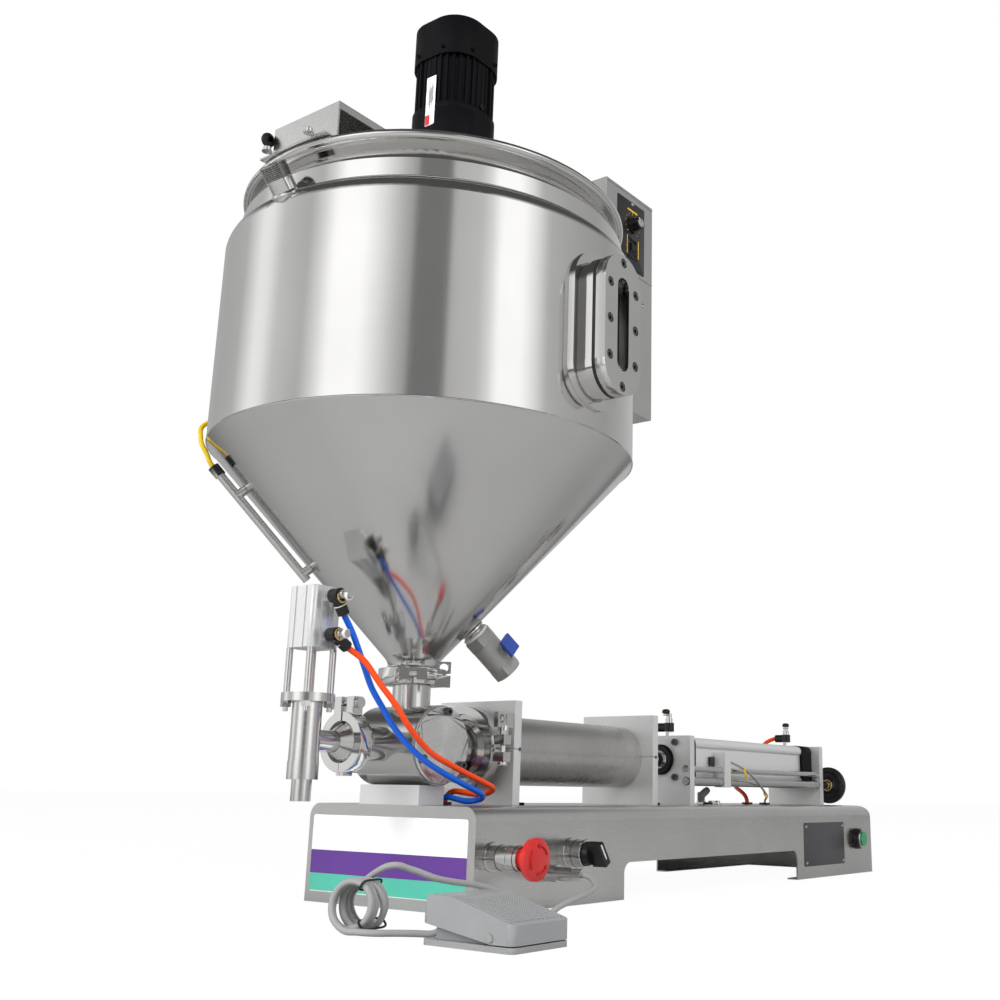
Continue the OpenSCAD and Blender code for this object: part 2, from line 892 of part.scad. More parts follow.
// Two half rings, their hinge pin and the closing bolt with its wing nut.
// The ring lies round the z axis and closes on the +X side.
module pipe_clamp(r) {
  outer = r + 4;
  lug = outer + 9;
  difference() {
    union() {
      rotate_extrude()
        difference() {
          translate([r - 5, -clamp_w / 2])
            square([9, clamp_w]);
          translate([r - 6, -stack_half - 0.3])
            square([6.4, 2 * stack_half + 0.6]);
        }
      for (s = [-1, 1])
        translate([outer - 3, s * 9 - 5, -clamp_w / 2 + 2])
          cube([18, 10, clamp_w - 4]);
      translate([-outer - 3, -5, -clamp_w / 2 + 2])
        cube([6, 10, clamp_w - 4]);
    }
    translate([outer / 2, 0, 0])
      cube([2 * outer, 2, 2 * clamp_w], center = true);
    translate([-outer / 2, 0, 0])
      cube([outer + 20, 0.6, 2 * clamp_w], center = true);
    translate([lug, -40, 0])
      rotate([-90, 0, 0])
        cylinder(h = 80, r = 3.2);
    cylinder(h = 2 * clamp_w, r = r - 4.8, center = true);
  }
  translate([lug, -16, 0])
    rotate([-90, 0, 0])
      cylinder(h = 46, r = 3);
  translate([lug, -18, 0])
    rotate([-90, 0, 0])
      cylinder(h = 4 - 0.2, r = 5.5);
  translate([lug, 14.2, 0])
    wing_nut();
}

// Wing nut on a bolt along +Y, with a round ear pierced by a hole
module wing_nut() {
  rotate([-90, 0, 0])
    difference() {
      cylinder(h = 10, r = 6);
      cylinder(h = 30, r = 3.2, center = true);
    }
  difference() {
    translate([-3, 8, -13])
      cube([6, 16, 26]);
    translate([0, 17, 7])
      rotate([0, 90, 0])
        cylinder(h = 10, r = 4.5, center = true);
    rotate([-90, 0, 0])
      cylinder(h = 60, r = 3.2);
  }
}

module pipe_clamps() {
  color("silver") {
    translate([outlet_seam_x, 0, line_z])
      rotate([0, -90, 0])
        pipe_clamp(outlet_ferrule_r);
    translate([port_seam_x, 0, line_z])
      rotate([0, -90, 0])
        rotate(-90)
          pipe_clamp(port_ferrule_r);
    translate([0, 0, neck_seam_z])
      rotate(-135)
        pipe_clamp(neck_ferrule_r);
  }
}

module gasket(r, bore_r) {
  difference() {
    cylinder(h = gasket_t, r = r - 0.5, center = true);
    cylinder(h = 2 * gasket_t, r = bore_r, center = true);
  }
}

module clamp_gaskets() {
  color("white") {
    translate([outlet_seam_x, 0, line_z])
      rotate([0, 90, 0])
        gasket(outlet_ferrule_r, outlet_port_r);
    translate([port_seam_x, 0, line_z])
      rotate([0, 90, 0])
        gasket(port_ferrule_r, port_pipe_r - wall_t);
    translate([0, 0, neck_seam_z])
      gasket(neck_ferrule_r, neck_pipe_r - wall_t);
  }
}

module nozzle_body() {
  seam = outlet_seam_x - gasket_t / 2;
  cone_l = 13;
  cone_r = outlet_ferrule_r - 5.1;
  color("silver")
    difference() {
      union() {
        translate([-nozzle_x, 0, collar_top])
          cylinder(h = nozzle_flange_z - collar_top, r = nozzle_r);
        translate([-nozzle_x, 0, nozzle_flange_z])
          cylinder(h = nozzle_flange_t, r = nozzle_flange_r);
        bar_x(-nozzle_x, 0, line_z, nozzle_x + seam, spout_pipe_r);
        translate([seam - ferrule_t - cone_l, 0, line_z])
          rotate([0, 90, 0])
            cylinder(h = cone_l, r1 = spout_pipe_r, r2 = cone_r);
        bar_x(seam - ferrule_t, 0, line_z, ferrule_t, outlet_ferrule_r);
      }
      translate([-nozzle_x, 0, collar_top - 1])
        cylinder(h = nozzle_flange_z - collar_top + 1, r = nozzle_bore);
      translate([-nozzle_x, 0, collar_top])
        cylinder(h = 80, r = plunger_r + run_gap);
      bar_x(-nozzle_x, 0, line_z, nozzle_x, spout_pipe_r - wall_t);
      for (a = [45 : 90 : 315])
        translate([-nozzle_x, 0, nozzle_flange_z - 1])
          rotate(a)
            translate([standoff_pitch * sqrt(0.5), 0, 0])
              cylinder(h = nozzle_flange_t + 2, r = screw_hole_r);
    }
}

module nozzle_tip() {
  color("silver")
    translate([-nozzle_x, 0, 0])
      difference() {
        union() {
          translate([0, 0, nozzle_low])
            cylinder(h = 25, r = spout_r);
          translate([0, 0, collar_top - 17])
            cylinder(h = 17, r = collar_r);
        }
        translate([0, 0, nozzle_low - 1])
          cylinder(h = 60, r = spout_bore);
        translate([0, 0, seat_z])
          cylinder(h = 30, r = nozzle_bore);
      }
}

module nozzle_standoffs() {
  top = nozzle_cyl_low;
  color("silver")
    translate([-nozzle_x, 0, 0])
      for (a = [45 : 90 : 315])
        rotate(a)
          translate([standoff_pitch * sqrt(0.5), 0, 0]) {
            translate([0, 0, nozzle_flange_z + nozzle_flange_t])
              cylinder(h = top - nozzle_flange_z - nozzle_flange_t, r = standoff_d / 2);
            translate([0, 0, nozzle_flange_z - 9])
              cylinder(h = nozzle_flange_t + 12, r = 2.5);
            translate([0, 0, nozzle_flange_z - 5])
              cylinder(h = 5, r = 5, $fn = 6);
          }
}

// Compact air cylinder with four lobed corners and a groove in each side
module nozzle_cylinder() {
  s = nozzle_cyl_side;
  color("silver")
    translate([-nozzle_x, 0, nozzle_cyl_low])
      difference() {
        linear_extrude(nozzle_cyl_l)
          difference() {
            round_rect(s, s, 5);
            for (a = [0 : 90 : 270])
              rotate(a)
                for (t = [-1, 1])
                  translate([s / 2 - 1.5, t * 7 - 1])
                    square([2, 2]);
          }
        translate([0, 0, -1])
          cylinder(h = nozzle_cyl_l, r = plunger_r + run_gap);
        translate([0, 0, nozzle_chamber_z - nozzle_cyl_low])
          cylinder(h = nozzle_chamber_l, r = nozzle_piston_r + run_gap);
      }
}

module nozzle_plunger() {
  color("gray")
    translate([-nozzle_x, 0, 0]) {
      translate([0, 0, seat_z])
        cylinder(h = 9, r = spout_bore + 1.5);
      translate([0, 0, seat_z + 5])
        cylinder(h = nozzle_chamber_z - seat_z, r = plunger_r);
      translate([0, 0, nozzle_chamber_z + 1])
        cylinder(h = nozzle_chamber_l - plunger_travel - 2, r = nozzle_piston_r);
    }
}

module tube_plates() {
  color("gainsboro")
    for (x = [plate1_x, plate2_x])
      difference() {
        translate([x, -tube_plate_w / 2, base_h])
          cube([plate_t, tube_plate_w, tube_plate_top - base_h]);
        bar_x(x - 1, 0, line_z, plate_t + 2, barrel_hub_r + seat_gap);
        translate([x - 1, -tube_plate_w, line_z - split_gap / 2])
          cube([plate_t + 2, 2 * tube_plate_w, split_gap]);
      }
}

// Folded angles that hold the clamping plates on the base
module plate_brackets() {
  color("dimgray")
    for (x = [plate1_x, plate2_x])
      for (s = [-1, 1])
        translate([x + plate_t, s * 36 - 9, base_h]) {
          cube([3, 18, 20]);
          cube([22, 18, 3]);
        }
}

module barrel() {
  seal = gasket_t / 2;
  head_x = port_seam_x + seal;
  bore_x = barrel_x + barrel_head_t;
  color("silver")
    difference() {
      union() {
        bar_x(barrel_x, 0, line_z, plate2_x - barrel_x, barrel_od / 2);
        bar_x(head_x, 0, line_z, barrel_x - head_x + 1, barrel_hub_r);
        bar_x(head_x, 0, line_z, ferrule_t, port_ferrule_r);
        bar_x(plate2_x - 1, 0, line_z, plate_t + 1, barrel_hub_r);
      }
      bar_x(head_x - 1, 0, line_z, 60, port_pipe_r - wall_t);
      bar_x(bore_x, 0, line_z, plate2_x - barrel_wall_end - bore_x, barrel_bore / 2);
      bar_x(plate2_x - 10, 0, line_z, 40, rod_d / 2 + run_gap);
    }
}

module piston() {
  color("white")
    difference() {
      bar_x(piston_x, 0, line_z, piston_t, barrel_bore / 2 - run_gap);
      for (x = seal_starts)
        difference() {
          bar_x(x, 0, line_z, seal_w, barrel_bore);
          bar_x(x - 1, 0, line_z, seal_w + 2, barrel_bore / 2 - seal_depth);
        }
    }
}

module piston_seals() {
  color("dimgray")
    for (x = seal_starts)
      difference() {
        bar_x(x, 0, line_z, seal_w, barrel_bore / 2 - run_gap);
        bar_x(x - 1, 0, line_z, seal_w + 2, barrel_bore / 2 - seal_depth);
      }
}

module piston_rod() {
  color("silver")
    bar_x(piston_x + piston_t, 0, line_z, air_piston_x - piston_x - piston_t, rod_d / 2);
}

module air_piston() {
  color("dimgray")
    bar_x(air_piston_x, 0, line_z, air_piston_t, air_bore / 2 - run_gap);
}

module cylinder_plates() {
  color("gainsboro") {
    difference() {
      translate([plate3_x, -air_plate_w / 2, base_h])
        cube([plate_t, air_plate_w, air_plate_top - base_h]);
      bar_x(plate3_x - 1, 0, line_z, plate_t + 2, gland_r + seat_gap);
      for (sy = [-1, 1])
        for (sz = [-1, 1])
          bar_x(plate3_x - 1, sy * corner, line_z + sz * corner, plate_t + 2, screw_hole_r);
      bar_x(plate3_x - 1, -adjust_y, guide_z, plate_t + 2, guide_d / 2 + seat_gap / 2);
      bar_x(plate3_x - 1, -adjust_y, screw_z, plate_t + 2, screw_d / 2 + run_gap);
    }
    difference() {
      translate([plate4_x, -air_plate_w / 2, base_h])
        cube([plate_t, air_plate_w, air_plate_top - base_h]);
      bar_x(plate4_x - 1, -adjust_y, guide_z, plate_t + 2, guide_d / 2 + seat_gap / 2);
      bar_x(plate4_x - 1, -adjust_y, screw_z, plate_t + 2, screw_d / 2 + run_gap);
    }
  }
}

// Drawn tube with a round lobe on each corner
module air_cylinder_tube() {
  color("gainsboro")
    difference() {
      along_x(air_x, air_end_x - air_x)
        translate([0, line_z]) {
          square(2 * tube_flat, center = true);
          for (sx = [-1, 1])
            for (sy = [-1, 1])
              translate([sx * corner, sy * corner])
                circle(cap_lobe_r);
        }
      bar_x(air_x - 1, 0, line_z, air_end_x - air_x + 2, air_bore / 2);
    }
}

module end_cap_section() {
  difference() {
    round_rect(cap_side, cap_side, 10);
    for (sx = [-1, 1])
      for (sy = [-1, 1])
        translate([sx * corner, sy * corner])
          circle(4);
  }
}

module air_cylinder_caps() {
  front_x = plate3_x + plate_t;
  color("black") {
    difference() {
      union() {
        along_x(front_x, front_cap_l)
          translate([0, line_z])
            end_cap_section();
        bar_x(plate3_x - gland_l, 0, line_z, plate_t + gland_l + 1, gland_r);
      }
      bar_x(plate3_x - 20, 0, line_z, 80, rod_d / 2 + run_gap);
      translate([air_port_front_x, 0, line_z + cap_side / 2 - 9])
        cylinder(h = 10, r = 5);
    }
    difference() {
      along_x(air_end_x, rear_cap_l)
        translate([0, line_z])
          end_cap_section();
      translate([air_port_rear_x, 0, line_z + cap_side / 2 - 9])
        cylinder(h = 10, r = 5);
    }
  }
}

module guide_rod() {
  color("silver")
    bar_x(plate3_x, -adjust_y, guide_z, plate4_x + plate_t - plate3_x, guide_d / 2);
}

module adjust_screw() {
  collar_r = screw_d / 2 + 1.2;
  color("silver") {
    bar_x(plate3_x + 2, -adjust_y, screw_z, wheel_x + wheel_l - plate3_x - 2 + 3, screw_d / 2);
    bar_x(plate3_x + plate_t + 0.3, -adjust_y, screw_z, 5, collar_r);
    bar_x(plate4_x - 5.3, -adjust_y, screw_z, 5, collar_r);
  }
}

module handwheel() {
  r = wheel_d / 2;
  color("black")
    translate([wheel_x, -adjust_y, screw_z])
      rotate([0, 90, 0])
        difference() {
          union() {
            rotate_extrude()
              difference() {
                union() {
                  translate([0, 0])
                    square([r - 4, 12]);
                  translate([r - 4, 4])
                    square([4, 4]);
                  for (z = [4, 8])
                    translate([r - 4, z])
                      circle(4);
                }
                translate([12, 7])
                  square([r - 19, 10]);
                polygon([[10, -1], [r - 6, -1], [r - 9, 2.5], [13, 2.5]]);
              }
            cylinder(h = wheel_l, r = 9);
            translate([0, r - 7, 11])
              cylinder(h = 20, r = 4);
          }
          translate([0, 0, -1])
            cylinder(h = wheel_l + 4, r = screw_d / 2 + seat_gap / 2);
        }
}

// Block that rides on the guide rod and the screw and carries the cylinder sensor
module sensor_carriage() {
  low_y = -adjust_y - carriage_w / 2;
  color("silver")
    difference() {
      translate([carriage_x, low_y, carriage_low])
        cube([carriage_l, carriage_w, carriage_top - carriage_low]);
      bar_x(carriage_x - 1, -adjust_y, guide_z, carriage_l + 2, guide_d / 2 + run_gap);
      bar_x(carriage_x - 1, -adjust_y, screw_z, carriage_l + 2, screw_d / 2 + run_gap);
    }
  color("black")
    translate([carriage_x - 12, low_y + carriage_w + seat_gap, line_z - 6])
      cube([24, carriage_gap, 12]);
}

// Flow control: ring, swivel barrel and needle knob; its thread's axis is +Z and its barrel's is +X
module flow_control(barrel_l) {
  color("silver") {
    cylinder(h = 5, r = 5.5, $fn = 6);
    translate([0, 0, 5])
      cylinder(h = 15, r = 4);
    translate([0, 0, 18])
      cylinder(h = 6, r = 4.8);
    translate([0, 0, 24])
      cylinder(h = 7, r = 3.6);
  }
  color("black")
    difference() {
      union() {
        translate([0, 0, 6])
          cylinder(h = 12, r = 7);
        translate([0, 0, 12])
          rotate([0, 90, 0])
            cylinder(h = barrel_l, r = 6);
      }
      translate([0, 0, 12])
        rotate([0, 90, 0])
          translate([0, 0, barrel_l - 8])
            cylinder(h = 20, r = hose_d / 2 + seat_gap);
    }
}

module flow_valves() {
  for (x = [air_port_front_x, air_port_rear_x])
    translate([x, 0, line_z + cap_side / 2])
      rotate(90)
        flow_control(18);
  for (p = [[port_high_z, 58], [port_low_z, 30]])
    translate([-nozzle_x, -nozzle_cyl_side / 2, p[0]])
      rotate([90, 0, 0])
        rotate(-p[1])
          flow_control(20);
}

// A prism of stadium outline at the sight glass, from y along +Y
module sight_prism(y, depth, w, h) {
  along_y(y, depth)
    translate([0, sight_z])
      stadium(w, h);
}

// Outline of the jacket inset from its outside: cone, straight wall and rounded shoulder
module jacket_outline(inset) {
  r = jacket_top - shoulder_z;
  top_r = jacket_r - inset;
  polygon([
    [0, cone_low], [cone_low_r - inset * 1.5, cone_low],
    [top_r, cone_top + inset * 0.6], [top_r, shoulder_z], [jacket_r - r, shoulder_z],
    [jacket_r - r, jacket_top - inset], [0, jacket_top - inset]
  ]);
  translate([jacket_r - r, shoulder_z])
    circle(r - inset);
}

// Outline of the filled corner between the cone and the neck, with its hollow fillet
module neck_fillet() {
  slant = norm([1, cone_slope]);
  mid_x = outlet_r + wall_t + neck_fillet_r;
  mid_z = cone_low + cone_slope * (mid_x - cone_low_r) - neck_fillet_r * slant;
  difference() {
    polygon([
      [0, mid_z], [mid_x, mid_z],
      [mid_x - neck_fillet_r * cone_slope / slant, mid_z + neck_fillet_r / slant],
      [cone_low_r, cone_low], [0, cone_low]
    ]);
    translate([mid_x, mid_z])
      circle(neck_fillet_r);
  }
}

module hopper_jacket() {
  color("silver")
    difference() {
      union() {
        difference() {
          rotate_extrude()
            union() {
              jacket_outline(0);
              neck_fillet();
            }
          rotate_extrude()
            jacket_outline(wall_t);
        }
        inlet_pipe(inlet_r);
        drain_place()
          cylinder(h = 12, r = 11);
      }
      translate([0, 0, cone_low - 40])
        cylinder(h = 80, r = outlet_r + seat_gap);
      translate([0, 0, jacket_top - 30])
        cylinder(h = 60, r = bowl_r + 3 * seat_gap);
      inlet_pipe(inlet_bore_r);
      drain_place()
        translate([0, 0, -8])
          cylinder(h = 40, r = drain_bore_r);
      sight_prism(-jacket_r - 20, 60, sight_w - 4, sight_h - 4);
    }
}

// Threaded inlet on the shoulder, tilted outwards
module inlet_pipe(r) {
  shoulder_r = jacket_top - shoulder_z;
  rotate(inlet_az)
    translate([jacket_r - shoulder_r, 0, shoulder_z])
      rotate([0, inlet_tilt, 0])
        translate([0, 0, shoulder_r - inlet_in])
          cylinder(h = inlet_in + inlet_out, r = r);
}

// Moves children to the drain's place on the cone, their z axis square to the cone
module drain_place() {
  r = cone_low_r + (drain_z - cone_low) / cone_slope;
  rotate(drain_az)
    translate([r, 0, drain_z])
      rotate([0, 90 + 90 - cone_angle, 0])
        translate([0, 0, -2])
          children();
}

module bowl_outline(inset) {
  polygon([
    [0, bowl_cone_low - 60], [outlet_r - inset, bowl_cone_low - 60],
    [outlet_r - inset, bowl_cone_low + inset * 0.4], [bowl_r - inset, bowl_cone_top + inset * 0.4],
    [bowl_r - inset, neck_z], [mouth_r - inset, rim_z - 4], [mouth_r - inset, rim_z + 20], [0, rim_z + 20]
  ]);
}

module hopper_bowl() {
  seam = neck_seam_z + gasket_t / 2;
  color("silver")
    difference() {
      union() {
        rotate_extrude()
          intersection() {
            bowl_outline(0);
            translate([0, seam])
              square([jacket_r, rim_z - seam - 2]);
          }
        translate([0, 0, seam])
          cylinder(h = ferrule_t, r = neck_ferrule_r);
        translate([0, 0, rim_z - 4])
          cylinder(h = 4, r = rim_r - bead_r);
        rotate_extrude()
          translate([rim_r - bead_r, rim_z])
            circle(bead_r);
      }
      rotate_extrude()
        bowl_outline(wall_t);
      sight_prism(-jacket_r - 20, 60, sight_w - 4, sight_h - 4);
    }
}

// Welded neck of the sight glass, from inside the bowl to the gasket
module sight_frame() {
  inner = -bowl_r + 4;
  neck = 4 + 2 * seat_gap;
  color("silver")
    difference() {
      union() {
        sight_prism(sight_body_front, inner - sight_body_front, sight_w - neck, sight_h - neck);
        sight_prism(sight_body_front, 9, sight_w, sight_h);
        difference() {
          sight_prism(-jacket_r - 4, 24, sight_w + 20, sight_h + 20);
          cylinder(h = 2 * jacket_top, r = jacket_r + seat_gap);
        }
      }
      sight_prism(-jacket_r - 60, 80, slot_w, slot_h);
      sight_prism(sight_body_front - 1, pane_t + 1 + seat_gap, slot_w + 14, slot_h + 14);
    }
}

module sight_plate() {
  color("gainsboro")
    difference() {
      sight_prism(-sight_front, sight_plate_t, sight_w, sight_h);
      sight_prism(-sight_front - 1, sight_plate_t + 2, slot_w, slot_h);
      for (p = sight_bolts) {
        bar_y(p[0], -sight_front - 1, p[1], sight_plate_t + 2, screw_hole_r);
        bar_y(p[0], -sight_front - 1, p[1], sight_sink + 1, sight_sink_r);
      }
    }
  color("black")
    difference() {
      sight_prism(-sight_front + sight_plate_t, gasket_sight_t, sight_w - 2, sight_h - 2);
      sight_prism(-sight_front, 2 * sight_plate_t, slot_w + 4, slot_h + 4);
    }
}

module sight_pane() {
  color("lightblue")
    sight_prism(sight_body_front, pane_t, slot_w + 14 - 2 * seat_gap, slot_h + 14 - 2 * seat_gap);
}

module drain_valve() {
  color("silver")
    drain_place()
      difference() {
        union() {
          translate([0, 0, drain_hex_l])
            cylinder(h = drain_hex_l, r = drain_hex_r, $fn = 6);
          translate([0, 0, 2 * drain_hex_l - eps])
            cylinder(h = drain_l - 3 * drain_hex_l + 4, r = drain_body_r);
          translate([0, 0, drain_l + 2 - drain_hex_l])
            cylinder(h = drain_hex_l, r = drain_hex_r, $fn = 6);
          translate([0, 0, drain_stem_z])
            rotate([-90, 0, drain_turn])
              cylinder(h = 20, r = 6);
        }
        translate([0, 0, -1])
          cylinder(h = 2 * drain_l, r = drain_bore_r);
        translate([0, 0, drain_stem_z])
          sphere(drain_ball_r + run_gap);
        translate([0, 0, drain_stem_z])
          rotate([-90, 0, drain_turn])
            cylinder(h = 30, r = drain_stem_r + run_gap);
      }
}

// Ball, stem and lever plate of the drain
module drain_handle() {
  color("royalblue")
    drain_place()
      translate([0, 0, drain_stem_z])
        rotate([-90, 0, drain_turn])
          difference() {
            union() {
              sphere(drain_ball_r);
              cylinder(h = drain_lever_z + drain_lever_t, r = drain_stem_r);
              translate([-9, -9, drain_lever_z])
                cube([18, 20, drain_lever_t]);
            }
            rotate([90, 0, 0])
              cylinder(h = 40, r = drain_bore_r - 1, center = true);
          }
}

// Temperature probe along the cone, with a set screw boss at its upper end
module probe_tube() {
  out = 11;
  foot = 0.3;
  color("silver")
    rotate(probe_az) {
      bar_between(off_cone(probe_low_z, out), off_cone(probe_high_z, out), 4.5);
      for (z = [probe_low_z + 6, probe_high_z - 20])
        bar_between(off_cone(z, foot), off_cone(z, out), 5);
    }
  color("black")
    rotate(probe_az)
      bar_between(off_cone(probe_high_z, out), off_cone(probe_high_z + 9, out), 6);
}

// A point at height z on the cone's line, moved off it by out, in the XZ plane
function off_cone(z, out) = [
  cone_low_r + (z - cone_low) / cone_slope + out * sin(cone_angle), 0, z - out * cos(cone_angle)
];

// Folded bridge across the hopper's mouth
module motor_bridge() {
  leg_low = rim_z + bead_r + seat_gap;
  half = bridge_l / 2;
  color("silver") {
    difference() {
      translate([-half, -bridge_w / 2, leg_low])
        cube([bridge_l, bridge_w, bridge_z - leg_low]);
      translate([-half + sheet_t, -bridge_w, leg_low - 1])
        cube([bridge_l - 2 * sheet_t, 2 * bridge_w, bridge_z - bridge_lip - leg_low + 1]);
      translate([-half + sheet_t, -bridge_w / 2 + sheet_t, leg_low - 1])
        cube([bridge_l - 2 * sheet_t, bridge_w - 2 * sheet_t, bridge_z - leg_low - sheet_t + 1]);
      translate([0, 0, bridge_z])
        cylinder(h = 4 * sheet_t, r = spigot_r + seat_gap, center = true);
    }
    for (s = [-1, 1])
      translate([s * (half + bridge_foot / 2 - sheet_t / 2), 0, leg_low + sheet_t / 2])
        cube([bridge_foot + sheet_t, bridge_w, sheet_t], center = true);
  }
}

module gearbox() {
  low = bridge_z;
  s = gearbox_side;
  color("dimgray")
    difference() {
      union() {
        translate([gear_offset, 0, low])
          linear_extrude(gearbox_top - low)
            round_rect(s, s, gear_corner_r);
        translate([0, 0, low - sheet_t])
          cylinder(h = sheet_t, r = spigot_r);
      }
      translate([0, 0, low - 10])
        cylinder(h = 60, r = mixer_shaft_d / 2 + run_gap);
      for (z = [low + 38, low + 42])
        translate([gear_offset, 0, z])
          linear_extrude(1.5)
            difference() {
              square(2 * s, center = true);
              round_rect(s - 3, s - 3, gear_corner_r - 1.5);
            }
    }
}

module motor_body() {
  s = gearbox_side;
  color("black")
    translate([gear_offset, 0, 0]) {
      translate([0, 0, gearbox_top])
        linear_extrude(8)
          round_rect(s, s, gear_corner_r);
      translate([0, 0, gearbox_top + 8])
        linear_extrude(fan_cover_z - gearbox_top - 8)
          intersection() {
            square(s - 1, center = true);
            union() {
              circle(s / 2 - 1);
              for (a = [0 : 10 : 350])
                rotate(a)
                  translate([s / 2 - 2, -1.2])
                    square([fin_reach + 1, 2.4]);
            }
          }
      translate([0, 0, fan_cover_z])
        linear_extrude(motor_top - fan_cover_z)
          round_rect(s + 2, s + 2, gear_corner_r + 1);
    }
}

// Shaft with a frame of bars that follows the bowl's wall
module agitator() {
  foot_r = 12;
  weld = 0.5;
  color("silver") {
    translate([0, 0, mixer_foot_z])
      cylinder(h = bridge_z + 40 - mixer_foot_z, r = mixer_shaft_d / 2);
    for (s = [-1, 1]) {
      bar_between([0, 0, mixer_top_z], [s * mixer_reach, 0, mixer_top_z], mixer_bar);
      bar_between([s * mixer_reach, 0, mixer_low_z], [s * mixer_reach, 0, mixer_top_z], mixer_bar);
      bar_between([s * foot_r, 0, mixer_foot_z + 4], [s * mixer_reach, 0, mixer_low_z], mixer_bar);
      translate([s * mixer_reach, 0, mixer_low_z])
        sphere(mixer_bar + weld);
      translate([s * mixer_reach, 0, mixer_top_z])
        sphere(mixer_bar + weld);
    }
  }
}

module control_box() {
  post_x = box_x + box_w - post_w;
  w = box_wall;
  color("silver") {
    difference() {
      translate([box_x, -box_front, box_z])
        cube([box_w, box_d, box_h]);
      translate([box_x + w, -box_front + w, box_z + w])
        cube([box_w - 2 * w, box_d - 2 * w, box_h - 2 * w]);
      on_box(knob_x, knob_z)
        cylinder(h = 20, r = 3 + run_gap, center = true);
      on_box(knob_x, rocker_z)
        cube([rocker_w + 0.4, 2 * rocker_r + 0.4, 20], center = true);
      translate([post_x + post_w / 2, -box_front + post_d / 2, box_z])
        cylinder(h = 4 * w, r = 12, center = true);
    }
    difference() {
      translate([post_x, -box_front, post_low])
        cube([post_w, post_d, box_z - post_low]);
      translate([post_x + sheet_t, -box_front + sheet_t, post_low - 1])
        cube([post_w - 2 * sheet_t, post_d, box_z - post_low + 2]);
    }
    difference() {
      translate([0, -box_front + 8, 650])
        cube([post_x, 24, 110]);
      cylinder(h = 2000, r = jacket_r + seat_gap);
    }
  }
}

module on_box(x, z) {
  translate([x, -box_front, z])
    rotate([90, 0, 0])
      children();
}

module speed_knob() {
  color("black")
    on_box(knob_x, knob_z) {
      translate([0, 0, -8])
        cylinder(h = 9, r = 3);
      translate([0, 0, 0.4])
        cylinder(h = 3, r = 12);
      translate([0, 0, 3])
        cylinder(h = 12, r1 = 9.5, r2 = 8.5);
    }
}

module power_rocker() {
  color("black")
    on_box(knob_x, rocker_z)
      translate([-rocker_w / 2, 0, -5])
        rotate([0, 90, 0])
          cylinder(h = rocker_w, r = rocker_r);
}

// Foot of the pedal with the switch block under the treadle
module pedal_base() {
  mid_x = pedal_x + pedal_w / 2;
  back_y = pedal_y + pedal_l;
  color("gray")
    difference() {
      union() {
        translate([mid_x, pedal_y + pedal_l / 2, 0])
          linear_extrude(pedal_flange_t)
            round_rect(pedal_w, pedal_l, pedal_corner_r);
        along_x(pedal_x + 8, pedal_w - 16)
          polygon([
            [pedal_y + 10, 0], [pedal_y + 10, pedal_base_h], [back_y - 32, 1.6 * pedal_base_h],
            [back_y - 9, 2.2 * pedal_base_h], [back_y - 9, 0]
          ]);
        for (x = [pedal_x + 5, pedal_x + pedal_w - 11])
          translate([x, pedal_pin_y - 6, 0])
            cube([6, 12, pedal_pin_z + 6]);
        bar_y(pedal_cord_x, back_y - 10, 9.5, 9, 3.6);
      }
      bar_x(pedal_x - 1, pedal_pin_y, pedal_pin_z, pedal_w + 2, 3 + seat_gap);
      bar_y(pedal_cord_x, back_y - 7.8, 9.5, 20, cord_d / 2 + seat_gap);
    }
  color("silver")
    bar_x(pedal_x - 1.5, pedal_pin_y, pedal_pin_z, pedal_w + 3, 3);
}

module pedal_treadle() {
  low = pedal_low;
  t = pedal_wall;
  crest_y = pedal_y + pedal_crest * pedal_l;
  toe = [pedal_y, pedal_toe_h];
  crest = [crest_y, pedal_heel_h];
  slope = atan((crest[1] - toe[1]) / (crest[0] - toe[0]));
  rib_l = norm(crest - toe);
  color("gray")
    difference() {
      union() {
        intersection() {
          along_x(pedal_x, pedal_w)
            treadle_side(low, 0);
          translate([pedal_x + pedal_w / 2, pedal_y + pedal_l / 2, 0])
            linear_extrude(2 * pedal_heel_h)
              round_rect(pedal_w, pedal_l, pedal_corner_r);
        }
        for (i = [1 : pedal_rib_count])
          translate([pedal_x + i * pedal_w / (pedal_rib_count + 1) - pedal_rib_w / 2, toe[0], toe[1]])
            rotate([slope, 0, 0])
              translate([0, pedal_corner_r, -1])
                cube([pedal_rib_w, rib_l - 2 * pedal_corner_r, 1 + pedal_rib_h]);
      }
      along_x(pedal_x + t, pedal_w - 2 * t)
        treadle_side(low - 10, t);
      bar_x(pedal_x - 5, pedal_pin_y, pedal_pin_z, pedal_w + 10, 3 + run_gap);
      translate([pedal_cord_x - pedal_notch_w / 2, pedal_y + pedal_l - 12, 0])
        cube([pedal_notch_w, 20, pedal_notch_h]);
      translate([pedal_x - 5, pedal_y - 5, -20])
        cube([pedal_w + 10, pedal_l + 20, 20]);
    }
}

// Side view of the treadle, inset by the wall
module treadle_side(low, inset) {
  polygon([
    [pedal_y + inset, low],
    [pedal_y + inset, pedal_toe_h - inset],
    [pedal_y + pedal_crest * pedal_l, pedal_heel_h - inset],
    [pedal_y + pedal_l - 5 - inset, pedal_heel_h - inset],
    [pedal_y + pedal_l - 1 - inset, pedal_low + 11],
    [pedal_pin_y, low]
  ]);
}

